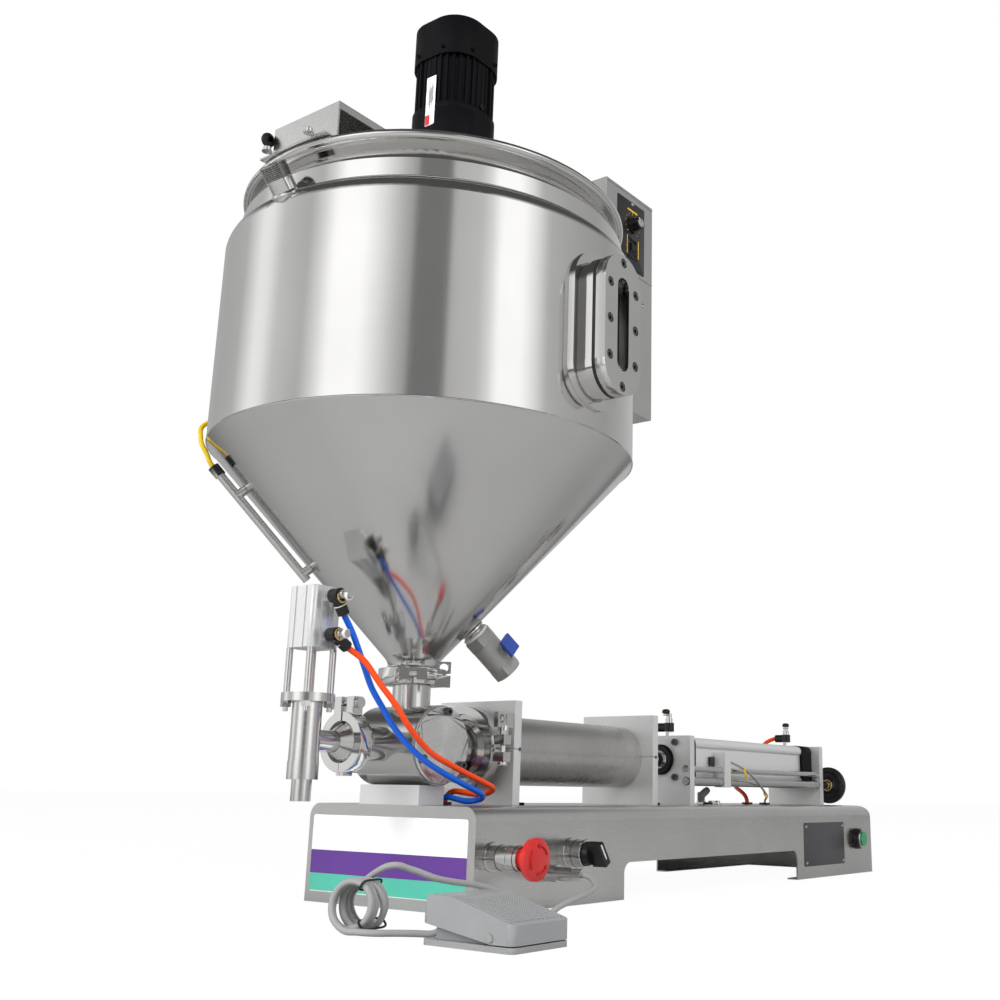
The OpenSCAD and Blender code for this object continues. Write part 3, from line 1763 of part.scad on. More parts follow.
module pedal_plug() {
  color("silver")
    on_panel(socket_x, socket_z) {
      difference() {
        union() {
          translate([0, 0, 3.2])
            cylinder(h = 14, r = plug_d / 2);
          translate([0, 0, 17])
            cylinder(h = 18, r = plug_d / 2 - 1.5);
          translate([0, 0, 35])
            cylinder(h = plug_l - 35 + 8, r = plug_d / 2 - 2.5);
        }
        translate([0, 0, 3])
          cylinder(h = socket_l - 3 + 0.2, r = socket_thread_d / 2 + seat_gap);
        translate([0, 0, plug_l])
          cylinder(h = 20, r = cord_d / 2 + seat_gap);
      }
    }
}

module pedal_cord() {
  color("darkgray") {
    swept_tube(cord_route, cord_d);
    swept_tube(cord_tail, cord_d);
  }
}

// The tied bundle of the cord
module pedal_hank() {
  color("darkgray")
    translate([-193, -142, 23])
      rotate(35)
        rotate([0, -90, 0])
          linear_extrude(32, center = true)
            rotate(90)
              stadium(40, 44);
}

module blue_hose() {
  color("dodgerblue")
    swept_tube(hose_blue, hose_d);
}

module orange_hose() {
  color("orangered")
    swept_tube(hose_orange, hose_d);
}

module rear_hose() {
  color("orangered")
    swept_tube(hose_rear, hose_d);
}

module sensor_cable() {
  color("gray")
    swept_tube(cable_sensor, sensor_cable_d);
}

module probe_cable() {
  color("gold")
    swept_tube(cable_probe, probe_cable_d);
}

// Hexagon socket head, its flat face at z = 0 and its thread below
module cap_screw(d, head_d, head_l, shank) {
  difference() {
    cylinder(h = head_l, r = head_d / 2);
    translate([0, 0, head_l / 2])
      cylinder(h = head_l, r = d / 2 * 0.85, $fn = 6);
  }
  translate([0, 0, -shank])
    cylinder(h = shank, r = d / 2 - 0.1);
}

module socket_screws() {
  color("dimgray") {
    for (a = cap_screw_angles)
      translate([cap_screw_r * cos(a), -valve_half - valve_cap_t, line_z + cap_screw_r * sin(a)])
        rotate([90, 0, 0])
          cap_screw(5, 8.5, 5, 4);
    for (p = sight_bolts)
      translate([p[0], -sight_front + sight_sink, p[1]])
        rotate([90, 0, 0])
          cap_screw(5, 9, 5, sight_plate_t - sight_sink);
    for (sy = [-1, 1])
      for (sz = [-1, 1])
        translate([plate3_x, sy * corner, line_z + sz * corner])
          rotate([0, -90, 0])
            cap_screw(5, 9, 4, plate_t);
  }
}

base_shell();
base_bottom_cover();
solenoid_valves();
panel_fittings();
estop_button();
selector_knob();
start_button();
valve_saddle();
valve_body();
valve_cap();
valve_rotor();
valve_actuator();
pipe_clamps();
clamp_gaskets();
nozzle_body();
nozzle_tip();
nozzle_standoffs();
nozzle_cylinder();
nozzle_plunger();
tube_plates();
plate_brackets();
barrel();
piston();
piston_seals();
piston_rod();
air_piston();
cylinder_plates();
air_cylinder_tube();
air_cylinder_caps();
guide_rod();
adjust_screw();
handwheel();
sensor_carriage();
flow_valves();
hopper_jacket();
hopper_bowl();
sight_frame();
sight_plate();
sight_pane();
drain_valve();
drain_handle();
probe_tube();
motor_bridge();
gearbox();
motor_body();
agitator();
control_box();
speed_knob();
power_rocker();
pedal_base();
pedal_treadle();
pedal_plug();
pedal_cord();
pedal_hank();
blue_hose();
orange_hose();
rear_hose();
sensor_cable();
probe_cable();
socket_screws();
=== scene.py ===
import math
import bpy
import bmesh
from mathutils import Matrix, Vector


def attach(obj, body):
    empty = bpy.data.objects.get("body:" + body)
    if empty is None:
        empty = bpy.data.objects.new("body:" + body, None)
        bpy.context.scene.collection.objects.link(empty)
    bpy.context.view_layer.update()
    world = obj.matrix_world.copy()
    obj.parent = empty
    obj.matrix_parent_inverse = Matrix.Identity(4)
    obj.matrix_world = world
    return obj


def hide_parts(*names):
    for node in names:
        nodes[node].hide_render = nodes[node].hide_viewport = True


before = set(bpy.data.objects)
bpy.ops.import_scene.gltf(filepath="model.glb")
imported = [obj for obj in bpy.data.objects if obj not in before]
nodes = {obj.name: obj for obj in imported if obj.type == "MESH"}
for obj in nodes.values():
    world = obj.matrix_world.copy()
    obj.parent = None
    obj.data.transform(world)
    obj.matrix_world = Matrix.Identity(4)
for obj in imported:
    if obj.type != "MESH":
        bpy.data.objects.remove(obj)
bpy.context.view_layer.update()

# Metres in a millimetre, and the base's two faces that carry labels and switches, in millimetres
MM = 0.001
PANEL_Y = -117.5
FRONT_X = -23.0

# Directions: out to the operator, to the far side, up, and along the machine to its two ends
OUT = (0, -1, 0)
FAR = (0, 1, 0)
UP = (0, 0, 1)
AHEAD = (-1, 0, 0)
BACK = (1, 0, 0)


# Camera, at the photograph's viewing angle

CAMERA_PLACE = (-0.91153, -0.89308, 0.11755)
CAMERA_YAW = -54.45
CAMERA_PITCH = 14.55
CAMERA_ROLL = 0.91


def make_camera():
    yaw, pitch, roll = (math.radians(a) for a in (CAMERA_YAW, CAMERA_PITCH, CAMERA_ROLL))
    level = Vector((math.cos(yaw), math.sin(yaw), 0))
    ahead = Vector((-math.sin(yaw), math.cos(yaw), 0))
    forward = math.cos(pitch) * ahead + Vector((0, 0, math.sin(pitch)))
    up = level.cross(forward)
    right = math.cos(roll) * level + math.sin(roll) * up
    top = -math.sin(roll) * level + math.cos(roll) * up
    data = bpy.data.cameras.new("camera")
    data.sensor_width = 36
    data.lens = 42.34
    data.shift_x = -0.1007
    data.shift_y = -0.0152
    data.clip_end = 50
    camera = bpy.data.objects.new("camera", data)
    bpy.context.scene.collection.objects.link(camera)
    rotation = Matrix((right, top, -forward)).transposed().to_4x4()
    camera.matrix_world = Matrix.Translation(CAMERA_PLACE) @ rotation
    bpy.context.scene.camera = camera


make_camera()


# Materials

# A grain that is alike along all axes
EVEN = (1, 1, 1)


class Nodes:
    """Short way to add and link the nodes of one material."""

    def __init__(self, material):
        self.tree = material.node_tree
        self.shader = self.tree.nodes["Principled BSDF"]

    def add(self, kind, **values):
        n = self.tree.nodes.new(kind)
        for key, value in values.items():
            if key in n.inputs:
                n.inputs[key].default_value = value
            else:
                setattr(n, key, value)
        return n

    def link(self, a, b):
        self.tree.links.new(a, b)

    def noise(self, scale, stretch=EVEN, detail=4.0):
        n = self.add("ShaderNodeTexNoise", Scale=scale, Detail=detail)
        coords = self.add("ShaderNodeTexCoord")
        mapping = self.add("ShaderNodeMapping", Scale=stretch)
        self.link(coords.outputs["Object"], mapping.inputs["Vector"])
        self.link(mapping.outputs["Vector"], n.inputs["Vector"])
        return n.outputs["Fac"]

    def spread(self, value, low, high, start=0.3, end=0.7):
        n = self.add("ShaderNodeMapRange")
        n.inputs["From Min"].default_value = start
        n.inputs["From Max"].default_value = end
        n.inputs["To Min"].default_value = low
        n.inputs["To Max"].default_value = high
        self.link(value, n.inputs["Value"])
        return n.outputs["Result"]

    def tint(self, value, dark, light):
        n = self.add("ShaderNodeMix", data_type="RGBA")
        ends = [s for s in n.inputs if s.type == "RGBA"]
        ends[0].default_value = (*dark, 1)
        ends[1].default_value = (*light, 1)
        self.link(value, n.inputs["Factor"])
        return [s for s in n.outputs if s.type == "RGBA"][0]

    def bump(self, value, distance):
        n = self.add("ShaderNodeBump", Strength=1.0, Distance=distance)
        self.link(value, n.inputs["Height"])
        return n.outputs["Normal"]


def blank_material(name, color, metallic, roughness):
    m = bpy.data.materials.new(name)
    m.use_nodes = True
    n = Nodes(m)
    n.shader.inputs["Base Color"].default_value = (*color, 1)
    n.shader.inputs["Metallic"].default_value = metallic
    n.shader.inputs["Roughness"].default_value = roughness
    return m, n


def metal(name, color, rough, grain=EVEN, grain_scale=900, depth=4e-6, contrast=0.06,
          shade=0.93, metallic=1.0):
    """Metal with a grain that is stretched along the axes where grain is small."""
    m, n = blank_material(name, color, metallic, rough)
    fine = n.noise(grain_scale, grain, 6)
    broad = n.noise(9, EVEN, 3)
    n.link(n.spread(fine, max(0.02, rough - contrast), rough + contrast), n.shader.inputs["Roughness"])
    dark = tuple(c * shade for c in color)
    n.link(n.tint(n.spread(broad, 0, 1), dark, color), n.shader.inputs["Base Color"])
    n.link(n.bump(fine, depth), n.shader.inputs["Normal"])
    return m


def plastic(name, color, rough, grain_scale=1500, depth=1e-5, coat=0.0, light=1.25, shine=0.5):
    """Moulded plastic or rubber with a fine texture and slight wear."""
    m, n = blank_material(name, color, 0.0, rough)
    fine = n.noise(grain_scale, EVEN, 3)
    broad = n.noise(25, EVEN, 4)
    worn = tuple(min(1.0, c * light + 0.001) for c in color)
    n.link(n.tint(n.spread(broad, 0, 1, 0.35, 0.75), color, worn), n.shader.inputs["Base Color"])
    n.link(n.spread(fine, rough * 0.85, min(1.0, rough * 1.15)), n.shader.inputs["Roughness"])
    n.link(n.bump(fine, depth), n.shader.inputs["Normal"])
    n.shader.inputs["Coat Weight"].default_value = coat
    n.shader.inputs["Specular IOR Level"].default_value = shine
    return m


def turned_disc(name):
    """A lathe-turned face, whose sheen runs in rays from its middle."""
    m, n = blank_material(name, (0.86, 0.855, 0.84), 1.0, 0.3)
    n.shader.inputs["Anisotropic"].default_value = 0.85
    rays = n.add("ShaderNodeTangent", direction_type="RADIAL", axis="Y")
    n.link(rays.outputs["Tangent"], n.shader.inputs["Tangent"])
    fine = n.noise(700, EVEN, 3)
    n.link(n.spread(fine, 0.26, 0.34), n.shader.inputs["Roughness"])
    return m


def glass(name):
    """Clear glass with a faint waviness."""
    m, n = blank_material(name, (0.86, 0.92, 0.92), 0.0, 0.03)
    n.shader.inputs["Transmission Weight"].default_value = 1.0
    n.shader.inputs["IOR"].default_value = 1.45
    n.link(n.bump(n.noise(30, EVEN, 2), 1e-5), n.shader.inputs["Normal"])
    return m


M = {
    "cap": turned_disc("turned_cap"),
    "sheet": metal("sheet_steel", (0.73, 0.725, 0.71), 0.23, (0.03, 1, 1), 1000, 2.5e-6, 0.05, 0.9),
    "wall": metal("hopper_wall", (0.72, 0.715, 0.70), 0.11, (1, 1, 0.015), 1100, 1e-6, 0.03),
    "cone": metal("hopper_cone", (0.68, 0.675, 0.665), 0.13, (1, 1, 0.05), 900, 1e-6, 0.03),
    "polished": metal("polished_steel", (0.74, 0.735, 0.72), 0.09, EVEN, 400, 2e-6, 0.03),
    "barrel": metal("barrel_steel", (0.66, 0.65, 0.63), 0.27, (1, 0.02, 0.02), 1400, 6e-7, 0.035, 0.86),
    "turned_x": metal("turned_steel", (0.64, 0.635, 0.62), 0.16, (1, 0.03, 0.03), 1500, 2e-6, 0.04),
    "turned_z": metal("turned_upright", (0.72, 0.715, 0.70), 0.16, (0.03, 0.03, 1), 1500, 4e-6, 0.05),
    "brushed_plate": metal("brushed_plate", (0.74, 0.735, 0.72), 0.2, (1, 1, 0.04), 1300, 5e-6),
    "thread": metal("thread_steel", (0.38, 0.38, 0.375), 0.25, EVEN, 700, 4e-6, 0.05),
    "dark_steel": metal("dark_steel", (0.16, 0.16, 0.165), 0.32, contrast=0.05),
    "satin": metal("satin_steel", (0.68, 0.675, 0.66), 0.24, EVEN, 700),
    "plate": metal("machined_plate", (0.86, 0.86, 0.855), 0.42, (1, 0.04, 1), 1300, 3e-6, 0.05, 0.97, 0.6),
    "anodised": metal("anodised_aluminium", (0.90, 0.905, 0.91), 0.4, (0.03, 1, 1), 1200, 3e-6, 0.05,
                      0.97, 0.55),
    "anodised_z": metal("anodised_upright", (0.88, 0.885, 0.89), 0.32, (1, 1, 0.03), 1200, 3e-6, 0.05,
                        0.95, 0.7),
    "black_metal": plastic("black_enamel", (0.003, 0.003, 0.004), 0.5, 500, shine=0.15, light=1.0),
    "cast_black": plastic("black_casting", (0.003, 0.003, 0.004), 0.55, 700, 3e-5, shine=0.15, light=1.0),
    "black": plastic("black_plastic", (0.008, 0.008, 0.008), 0.28),
    "rubber": plastic("black_rubber", (0.018, 0.018, 0.018), 0.62, 900, 3e-5),
    "red": plastic("red_plastic", (0.62, 0.018, 0.016), 0.3, coat=0.3, light=1.05),
    "green": plastic("green_plastic", (0.012, 0.30, 0.11), 0.28, coat=0.4, light=1.1),
    "blue": plastic("blue_plastic", (0.03, 0.07, 0.36), 0.35, coat=0.2),
    "collar_blue": plastic("release_collar", (0.02, 0.12, 0.55), 0.4),
    "white": plastic("white_plastic", (0.8, 0.8, 0.78), 0.4, light=1.02),
    "grey": plastic("grey_plastic", (0.30, 0.305, 0.31), 0.42, 1200, 3e-5, light=1.08),
    "valve_grey": plastic("nickel_grey", (0.30, 0.30, 0.285), 0.4, 900, 4e-5),
    "blue_hose": plastic("blue_hose", (0.0, 0.12, 0.72), 0.35, light=1.05),
    "orange_hose": plastic("orange_hose", (0.95, 0.07, 0.0), 0.35, light=1.0),
    "grey_cord": plastic("grey_cord", (0.33, 0.33, 0.33), 0.42, 900, 2e-5, light=1.05),
    "yellow": plastic("yellow_cord", (0.80, 0.55, 0.01), 0.4, light=1.05),
    "brass": metal("brass", (0.80, 0.58, 0.28), 0.25),
    "membrane": plastic("black_membrane", (0.016, 0.016, 0.017), 0.3, 1800, 4e-6),
    "yellow_mark": plastic("yellow_mark", (0.78, 0.50, 0.02), 0.4),
    "dark_red": plastic("dark_red", (0.42, 0.012, 0.012), 0.35),
    "label": plastic("label_white", (0.97, 0.97, 0.98), 0.35, light=1.0),
    "purple": plastic("label_purple", (0.115, 0.038, 0.27), 0.38, light=1.05),
    "teal": plastic("label_teal", (0.085, 0.50, 0.37), 0.38, light=1.03),
    "plate_grey": metal("name_plate", (0.17, 0.17, 0.18), 0.42, EVEN, 700, 8e-6),
    "glass": glass("clear_glass"),
}


# Mesh helpers, all lengths in millimetres

SHARP_ANGLE = 35


def finish_mesh(name, bm, materials, body="machine"):
    """Makes one smooth-shaded piece of the mesh, which rides on a body."""
    mesh = bpy.data.meshes.new(name)
    bmesh.ops.remove_doubles(bm, verts=bm.verts, dist=1e-7)
    bmesh.ops.recalc_face_normals(bm, faces=bm.faces)
    bm.to_mesh(mesh)
    bm.free()
    for p in mesh.polygons:
        p.use_smooth = True
    mesh.set_sharp_from_angle(angle=math.radians(SHARP_ANGLE))
    obj = bpy.data.objects.new(name, mesh)
    bpy.context.scene.collection.objects.link(obj)
    for material in materials:
        obj.data.materials.append(M[material])
    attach(obj, body)


def add_lathe(bm, profile, matrix, segments=48, index=0):
    """Turns a list of (radius, height) round the z axis of matrix."""
    rings = []
    for r, z in profile:
        if r < 1e-6:
            rings.append([bm.verts.new(matrix @ Vector((0, 0, z)) * MM)])
            continue
        rings.append([
            bm.verts.new(matrix @ Vector((r * math.cos(a), r * math.sin(a), z)) * MM)
            for a in (2 * math.pi * i / segments for i in range(segments))
        ])
    for a, b in zip(rings, rings[1:]):
        for i in range(segments):
            j = (i + 1) % segments
            loop = [a[i % len(a)], a[j % len(a)], b[j % len(b)], b[i % len(b)]]
            unique = list(dict.fromkeys(loop))
            if len(unique) > 2:
                bm.faces.new(unique).material_index = index


def add_prism(bm, outline, low, high, matrix, edge=0.0, index=0):
    """Raises a flat outline from low to high, with its rim chamfered by edge."""
    count = len(outline)
    cx = sum(p[0] for p in outline) / count
    cy = sum(p[1] for p in outline) / count
    w = max(p[0] for p in outline) - min(p[0] for p in outline)
    h = max(p[1] for p in outline) - min(p[1] for p in outline)

    def rim(inset, z):
        fx = (w - 2 * inset) / w
        fy = (h - 2 * inset) / h
        return [
            bm.verts.new(matrix @ Vector((cx + (x - cx) * fx, cy + (y - cy) * fy, z)) * MM)
            for x, y in outline
        ]

    rims = [rim(0, low), rim(0, high - edge)]
    if edge:
        rims.append(rim(edge * 0.3, high - edge * 0.3))
        rims.append(rim(edge, high))
    for a, b in zip(rims, rims[1:]):
        for i in range(count):
            j = (i + 1) % count
            bm.faces.new((a[i], a[j], b[j], b[i])).material_index = index
    bm.faces.new(rims[-1]).material_index = index
    bm.faces.new(list(reversed(rims[0]))).material_index = index


def rounded(w, h, r, steps, cx=0, cy=0):
    """Outline of a rectangle with round corners."""
    points = []
    for sx, sy, start in ((1, 1, 0), (-1, 1, 90), (-1, -1, 180), (1, -1, 270)):
        for i in range(steps + 1):
            a = math.radians(start + 90 * i / steps)
            x = cx + sx * (w / 2 - r) + r * math.cos(a)
            y = cy + sy * (h / 2 - r) + r * math.sin(a)
            points.append((x, y))
    return points


def frame_at(origin, x_axis, z_axis):
    """Matrix in millimetres whose x and z axes point as given."""
    z = Vector(z_axis).normalized()
    x = Vector(x_axis)
    x = (x - x.dot(z) * z).normalized()
    y = z.cross(x)
    m = Matrix((x, y, z)).transposed().to_4x4()
    m.translation = Vector(origin)
    return m


def panel(x, z, out=0.0):
    """On the operator's side of the base, looking out."""
    return frame_at((x, PANEL_Y - out, z), BACK, OUT)


def front(y, z, out=0.0):
    """On the front face of the base, looking out."""
    return frame_at((FRONT_X - out, y, z), OUT, AHEAD)


def smooth_path(points, steps=12):
    """Catmull-Rom curve through the points."""
    p = [Vector(q) for q in points]
    p = [2 * p[0] - p[1]] + p + [2 * p[-1] - p[-2]]
    out = []
    for i in range(1, len(p) - 2):
        a, b, c, d = p[i - 1:i + 3]
        for s in range(steps):
            t = s / steps
            out.append(0.5 * ((2 * b) + (c - a) * t + (2 * a - 5 * b + 4 * c - d) * t ** 2
                              + (3 * b - a - 3 * c + d) * t ** 3))
    out.append(p[-2])
    return out


def curve_piece(name, points, diameter, material, closed=False, sides=5):
    """A round cord or wire through the points, on the machine's own body."""
    data = bpy.data.curves.new(name, "CURVE")
    data.dimensions = "3D"
    spline = data.splines.new("POLY")
    spline.points.add(len(points) - 1)
    for target, q in zip(spline.points, points):
        target.co = (q[0] * MM, q[1] * MM, q[2] * MM, 1)
    spline.use_cyclic_u = closed
    spline.use_smooth = True
    data.bevel_depth = diameter * MM / 2
    data.bevel_resolution = sides
    data.use_fill_caps = True
    obj = bpy.data.objects.new(name, data)
    bpy.context.scene.collection.objects.link(obj)
    data.materials.append(M[material])
    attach(obj, "machine")
    return obj


def path_length(points):
    return sum((Vector(b) - Vector(a)).length for a, b in zip(points, points[1:]))


def cord_piece(name, points, diameter, material, replaced, pieces=()):
    """A loose cord or hose between two points of the machine, in place of CAD nodes."""
    obj = curve_piece(name, points, diameter, material)
    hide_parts(*replaced)


# Cords and hoses, from their exits to their ends

HOSE_BLUE = [
    (-133.5, -30, 285.8), (-129, -30, 278.6), (-119, -32, 263), (-110, -33.5, 246), (-103, -36, 229),
    (-95.6, -40, 210), (-85.7, -46, 192), (-75, -53, 173), (-61.5, -60, 157), (-44.3, -66, 143),
    (-22, -70, 132), (1, -73, 123), (28.5, -73.5, 113.7), (50, -70, 106.5), (59, -62, 103.8),
    (50, -54, 103.6), (38, -47, 104.5), (29, -38, 107.5), (27, -28, 110), (27, -20.5, 109),
    (27, -18, 105), (27, -18, 99),
]
HOSE_ORANGE = [
    (-129.3, -30, 251.8), (-122.4, -30, 247.8), (-112, -44, 235), (-100, -56, 213), (-87, -65, 194),
    (-70, -71, 171), (-44, -73, 151), (-16, -75, 139.5), (15, -75, 129.5), (48, -73, 120), (71, -70, 113),
    (78, -63, 110.5), (72, -56, 110), (58, -50, 111), (46, -40, 113), (41, -29, 114.5), (41, -19.5, 113),
    (41, -16, 108.5), (41, -16, 99),
]
HOSE_REAR = [
    (872, 10.2, 204), (872, 20, 204), (868, 32, 199), (862, 40, 190), (840, 48, 168), (800, 50, 145),
    (760, 34, 128), (742, 12, 118), (740, 2, 110), (740, 2, 99),
]
CABLE_SENSOR = [
    (600.2, -42, 160), (604, -42, 160), (613, -45, 157.5), (639, -52, 148), (668, -54, 133),
    (700, -48, 120), (731, -37, 113), (743, -28, 108.5), (745, -25, 105.5), (745, -25, 99),
]
CABLE_PROBE = [
    (-176.9, 133.2, 440.6), (-179.5, 135.3, 444.2), (-182.3, 139.6, 455), (-186.3, 144.4, 466),
    (-184.6, 149.5, 476), (-179.3, 158.1, 485), (-175.4, 161.3, 492), (-172.2, 160.6, 495),
    (-169.6, 158.2, 495.5),
]
CORD_ROUTE = [
    (87, -157.6, 35), (87, -167, 35), (85.5, -178, 31.5), (75, -188, 25), (52, -195, 21), (27, -200, 18),
    (4, -200, 13), (-11, -198, 8), (-40, -196, 13), (-69, -195, 27), (-98, -190, 36), (-124, -185, 40),
    (-144, -180, 44), (-162, -170, 51), (-178, -158, 54),
]
CORD_TAIL = [
    (-209, -160, 5), (-202, -172, 4.5), (-188, -180, 4), (-175, -190, 3.5), (-167.5, -201, 3.5),
    (-166, -211, 7.5), (-168, -217, 9.5), (-168, -222, 9.5), (-168, -228.8, 9.5),
]

# The tied bundle: its middle, the ways across and along its loops, and their size
HANK = Vector((-193, -143, 23))
HANK_SIDE = Vector((-0.174, 0.985, 0))
HANK_OUT = Vector((-0.985, -0.174, 0))
HANK_WIDE = 19.4
HANK_HIGH = 18.6
HANK_LIFT = 0.9
HANK_PITCH = 5.9
HANK_TURNS = 4.28
POINTS_PER_TURN = 14

# Outer diameters
HOSE_WIDE = 6
LEAD_WIDE = 3
PROBE_WIDE = 5
PEDAL_WIDE = 5.5
TIE_WIDE = 1.9

# Step along an eased path, and the most rounds of easing
EASED_STEP = 2.5
EASED_ROUNDS = 600


def eased(points, radius):
    """Even steps along the curve, with bends tighter than radius let out, both ends kept."""
    points = smooth_path(points)
    total = path_length(points)
    count = int(total / EASED_STEP)
    path = [Vector(points[0])]
    done = 0.0
    for a, b in zip(points, points[1:]):
        part = (Vector(b) - Vector(a)).length
        while len(path) < count and done + part >= total * len(path) / count:
            path.append(Vector(a).lerp(Vector(b), (total * len(path) / count - done) / part))
        done += part
    path.append(Vector(points[-1]))
    for _ in range(EASED_ROUNDS):
        tight = False
        for i in range(1, len(path) - 1):
            a, b, c = path[i - 1:i + 2]
            turn = (b - a).cross(c - b).length * 2
            sides = (b - a).length * (c - b).length * (c - a).length
            if turn * radius > sides:
                path[i] = b.lerp((a + c) / 2, 0.5)
                tight = True
        if not tight:
            break
    return path


def hank_point(turn):
    """A point of the tied bundle, turn full turns after its start on the left."""
    a = -2 * math.pi * turn
    low = (1 - math.sin(a)) / 2
    sway = 4.0 * low * math.sin(2.6 * turn + 0.4)
    fan = 3.2 * (turn - 2.1) * low
    side = HANK_WIDE * math.cos(a) + sway
    out = -12.5 + HANK_PITCH * turn + fan
    rise = HANK_HIGH * math.sin(a) + HANK_LIFT
    return HANK + side * HANK_SIDE + out * HANK_OUT + Vector((0, 0, rise))


def cord_ties():
    """Two ties round the bundle, each given by its turn, its shift and half its length."""
    ties = []
    points = 40
    for i, (turn, shift, reach) in enumerate(((0.36, -2.2, 17.0), (0.66, 0.3, 13.2))):
        a = -2 * math.pi * turn
        side = math.cos(a) * (HANK_WIDE + 0.2)
        rise = math.sin(a) * (HANK_HIGH + 0.2)
        radial = (side * HANK_SIDE + Vector((0, 0, rise))).normalized()
        middle = HANK + side * HANK_SIDE + Vector((0, 0, rise + HANK_LIFT)) + shift * HANK_OUT
        loop = []
        for k in range(points):
            t = 2 * math.pi * k / points
            c, d = math.cos(t), math.sin(t)
            loop.append(middle + reach * math.copysign(abs(c) ** 0.45, c) * HANK_OUT
                        + 4.6 * math.copysign(abs(d) ** 0.6, d) * radial)
        ties.append(curve_piece("cord_tie_%d" % i, loop, TIE_WIDE, "rubber",
                                closed=True, sides=3))
    return ties


def add_cords():
    cord_piece("blue_air_hose", eased(HOSE_BLUE, 13.5), HOSE_WIDE, "blue_hose",
               ["blue_hose"])
    cord_piece("orange_air_hose", eased(HOSE_ORANGE, 13.5), HOSE_WIDE, "orange_hose",
               ["orange_hose"])
    cord_piece("rear_air_hose", eased(HOSE_REAR, 16), HOSE_WIDE, "orange_hose",
               ["rear_hose"])
    cord_piece("sensor_lead", eased(CABLE_SENSOR, 9), LEAD_WIDE, "grey_cord",
               ["sensor_cable"])
    cord_piece("probe_lead", eased(CABLE_PROBE, 11.5), PROBE_WIDE, "yellow",
               ["probe_cable"])
    steps = range(-1, int(HANK_TURNS * POINTS_PER_TURN) + 1, 2)
    turns = [hank_point(i / POINTS_PER_TURN) for i in steps]
    route = eased(CORD_ROUTE + turns + CORD_TAIL, 12.5)
    cord_piece("pedal_lead", route, PEDAL_WIDE, "grey_cord",
               ["pedal_cord", "pedal_hank"], [*cord_ties(), nodes["pedal_plug"]])


add_cords()


# Materials of the CAD nodes

def split(node, default, *rules):
    """Gives a node one material, and others to the faces whose middle passes a rule's test."""
    obj = nodes[node]
    obj.data.materials.clear()
    for name in [default] + [r[0] for r in rules]:
        obj.data.materials.append(M[name])
    for p in obj.data.polygons:
        c = p.center / MM
        p.material_index = next((i + 1 for i, r in enumerate(rules) if r[1](c)), 0)


BEVEL_ANGLE = 40


def soften(node, width):
    """Small bevels on a node's sharp edges, for their highlights."""
    obj = nodes[node]
    weld = obj.modifiers.new("weld", "WELD")
    weld.merge_threshold = 5e-6
    bevel = obj.modifiers.new("bevel", "BEVEL")
    bevel.width = width * MM
    bevel.segments = 2
    bevel.limit_method = "ANGLE"
    bevel.angle_limit = math.radians(BEVEL_ANGLE)
    bevel.harden_normals = True


def dress_nodes():
    plain = {
        "base_shell": "sheet", "base_bottom_cover": "sheet", "solenoid_valves": "anodised",
        "estop_button": "red", "selector_knob": "black", "start_button": "green",
        "valve_saddle": "plate", "valve_body": "turned_x", "valve_cap": "cap",
        "valve_rotor": "polished", "valve_actuator": "anodised", "pipe_clamps": "polished",
        "clamp_gaskets": "white", "nozzle_body": "turned_z", "nozzle_tip": "turned_z",
        "nozzle_standoffs": "turned_z", "nozzle_cylinder": "anodised_z", "nozzle_plunger": "polished",
        "tube_plates": "plate", "plate_brackets": "cast_black", "barrel": "barrel", "piston": "white",
        "piston_seals": "rubber", "piston_rod": "polished", "air_piston": "anodised",
        "cylinder_plates": "plate", "air_cylinder_tube": "anodised", "air_cylinder_caps": "cast_black",
        "guide_rod": "polished", "adjust_screw": "turned_x", "handwheel": "black",
        "hopper_bowl": "polished", "sight_frame": "polished", "sight_pane": "glass",
        "drain_valve": "valve_grey", "drain_handle": "blue", "motor_bridge": "satin",
        "gearbox": "black_metal", "motor_body": "black_metal", "agitator": "satin",
        "control_box": "satin", "speed_knob": "black", "power_rocker": "black",
        "pedal_treadle": "grey", "pedal_plug": "polished", "pedal_cord": "grey_cord",
        "pedal_hank": "grey_cord", "blue_hose": "blue_hose", "orange_hose": "orange_hose",
        "rear_hose": "orange_hose", "sensor_cable": "grey_cord", "probe_cable": "yellow",
        "socket_screws": "dark_steel",
    }
    for node, material in plain.items():
        split(node, material)
    # Caps, nuts, gaskets and grommets, by the place of their faces in millimetres
    split("panel_fittings", "polished", ("black", lambda c: 840 < c.x < 900 and c.y > -124),
          ("black", lambda c: c.z > 94), ("black", lambda c: c.y > -115 and c.x < 900),
          ("valve_grey", lambda c: c.x > 900))
    split("flow_valves", "polished",
          ("black", lambda c: c.x < 0 and (-36.2 < c.y < -24.1 or abs(c.x + 140) > 5.6)),
          ("black", lambda c: c.x > 0 and (198.2 < c.z < 210.2 or c.y > 5.6)))
    split("sight_plate", "brushed_plate", ("rubber", lambda c: c.y > -254.2))
    split("sensor_carriage", "anodised", ("black", lambda c: c.y > -31.45))
    split("probe_tube", "satin", ("black", lambda c: c.z > 432.7))
    split("pedal_base", "grey", ("polished", lambda c: math.hypot(c.y + 291, c.z - 10) < 3.02))
    split("hopper_jacket", "wall", ("cone", lambda c: c.z < 467.4))
    # Bevels in millimetres
    softened = {
        0.5: ("valve_saddle", "tube_plates", "cylinder_plates", "sensor_carriage", "nozzle_cylinder"),
        0.7: ("control_box", "motor_bridge", "gearbox", "motor_body", "air_cylinder_caps",
              "valve_actuator", "pipe_clamps", "pedal_base", "plate_brackets"),
        0.9: ("sight_plate", "valve_cap", "pedal_treadle", "handwheel", "selector_knob",
              "speed_knob"),
    }
    for width, names in softened.items():
        for node in names:
            soften(node, width)


dress_nodes()


# Pieces that the CAD leaves to the scene

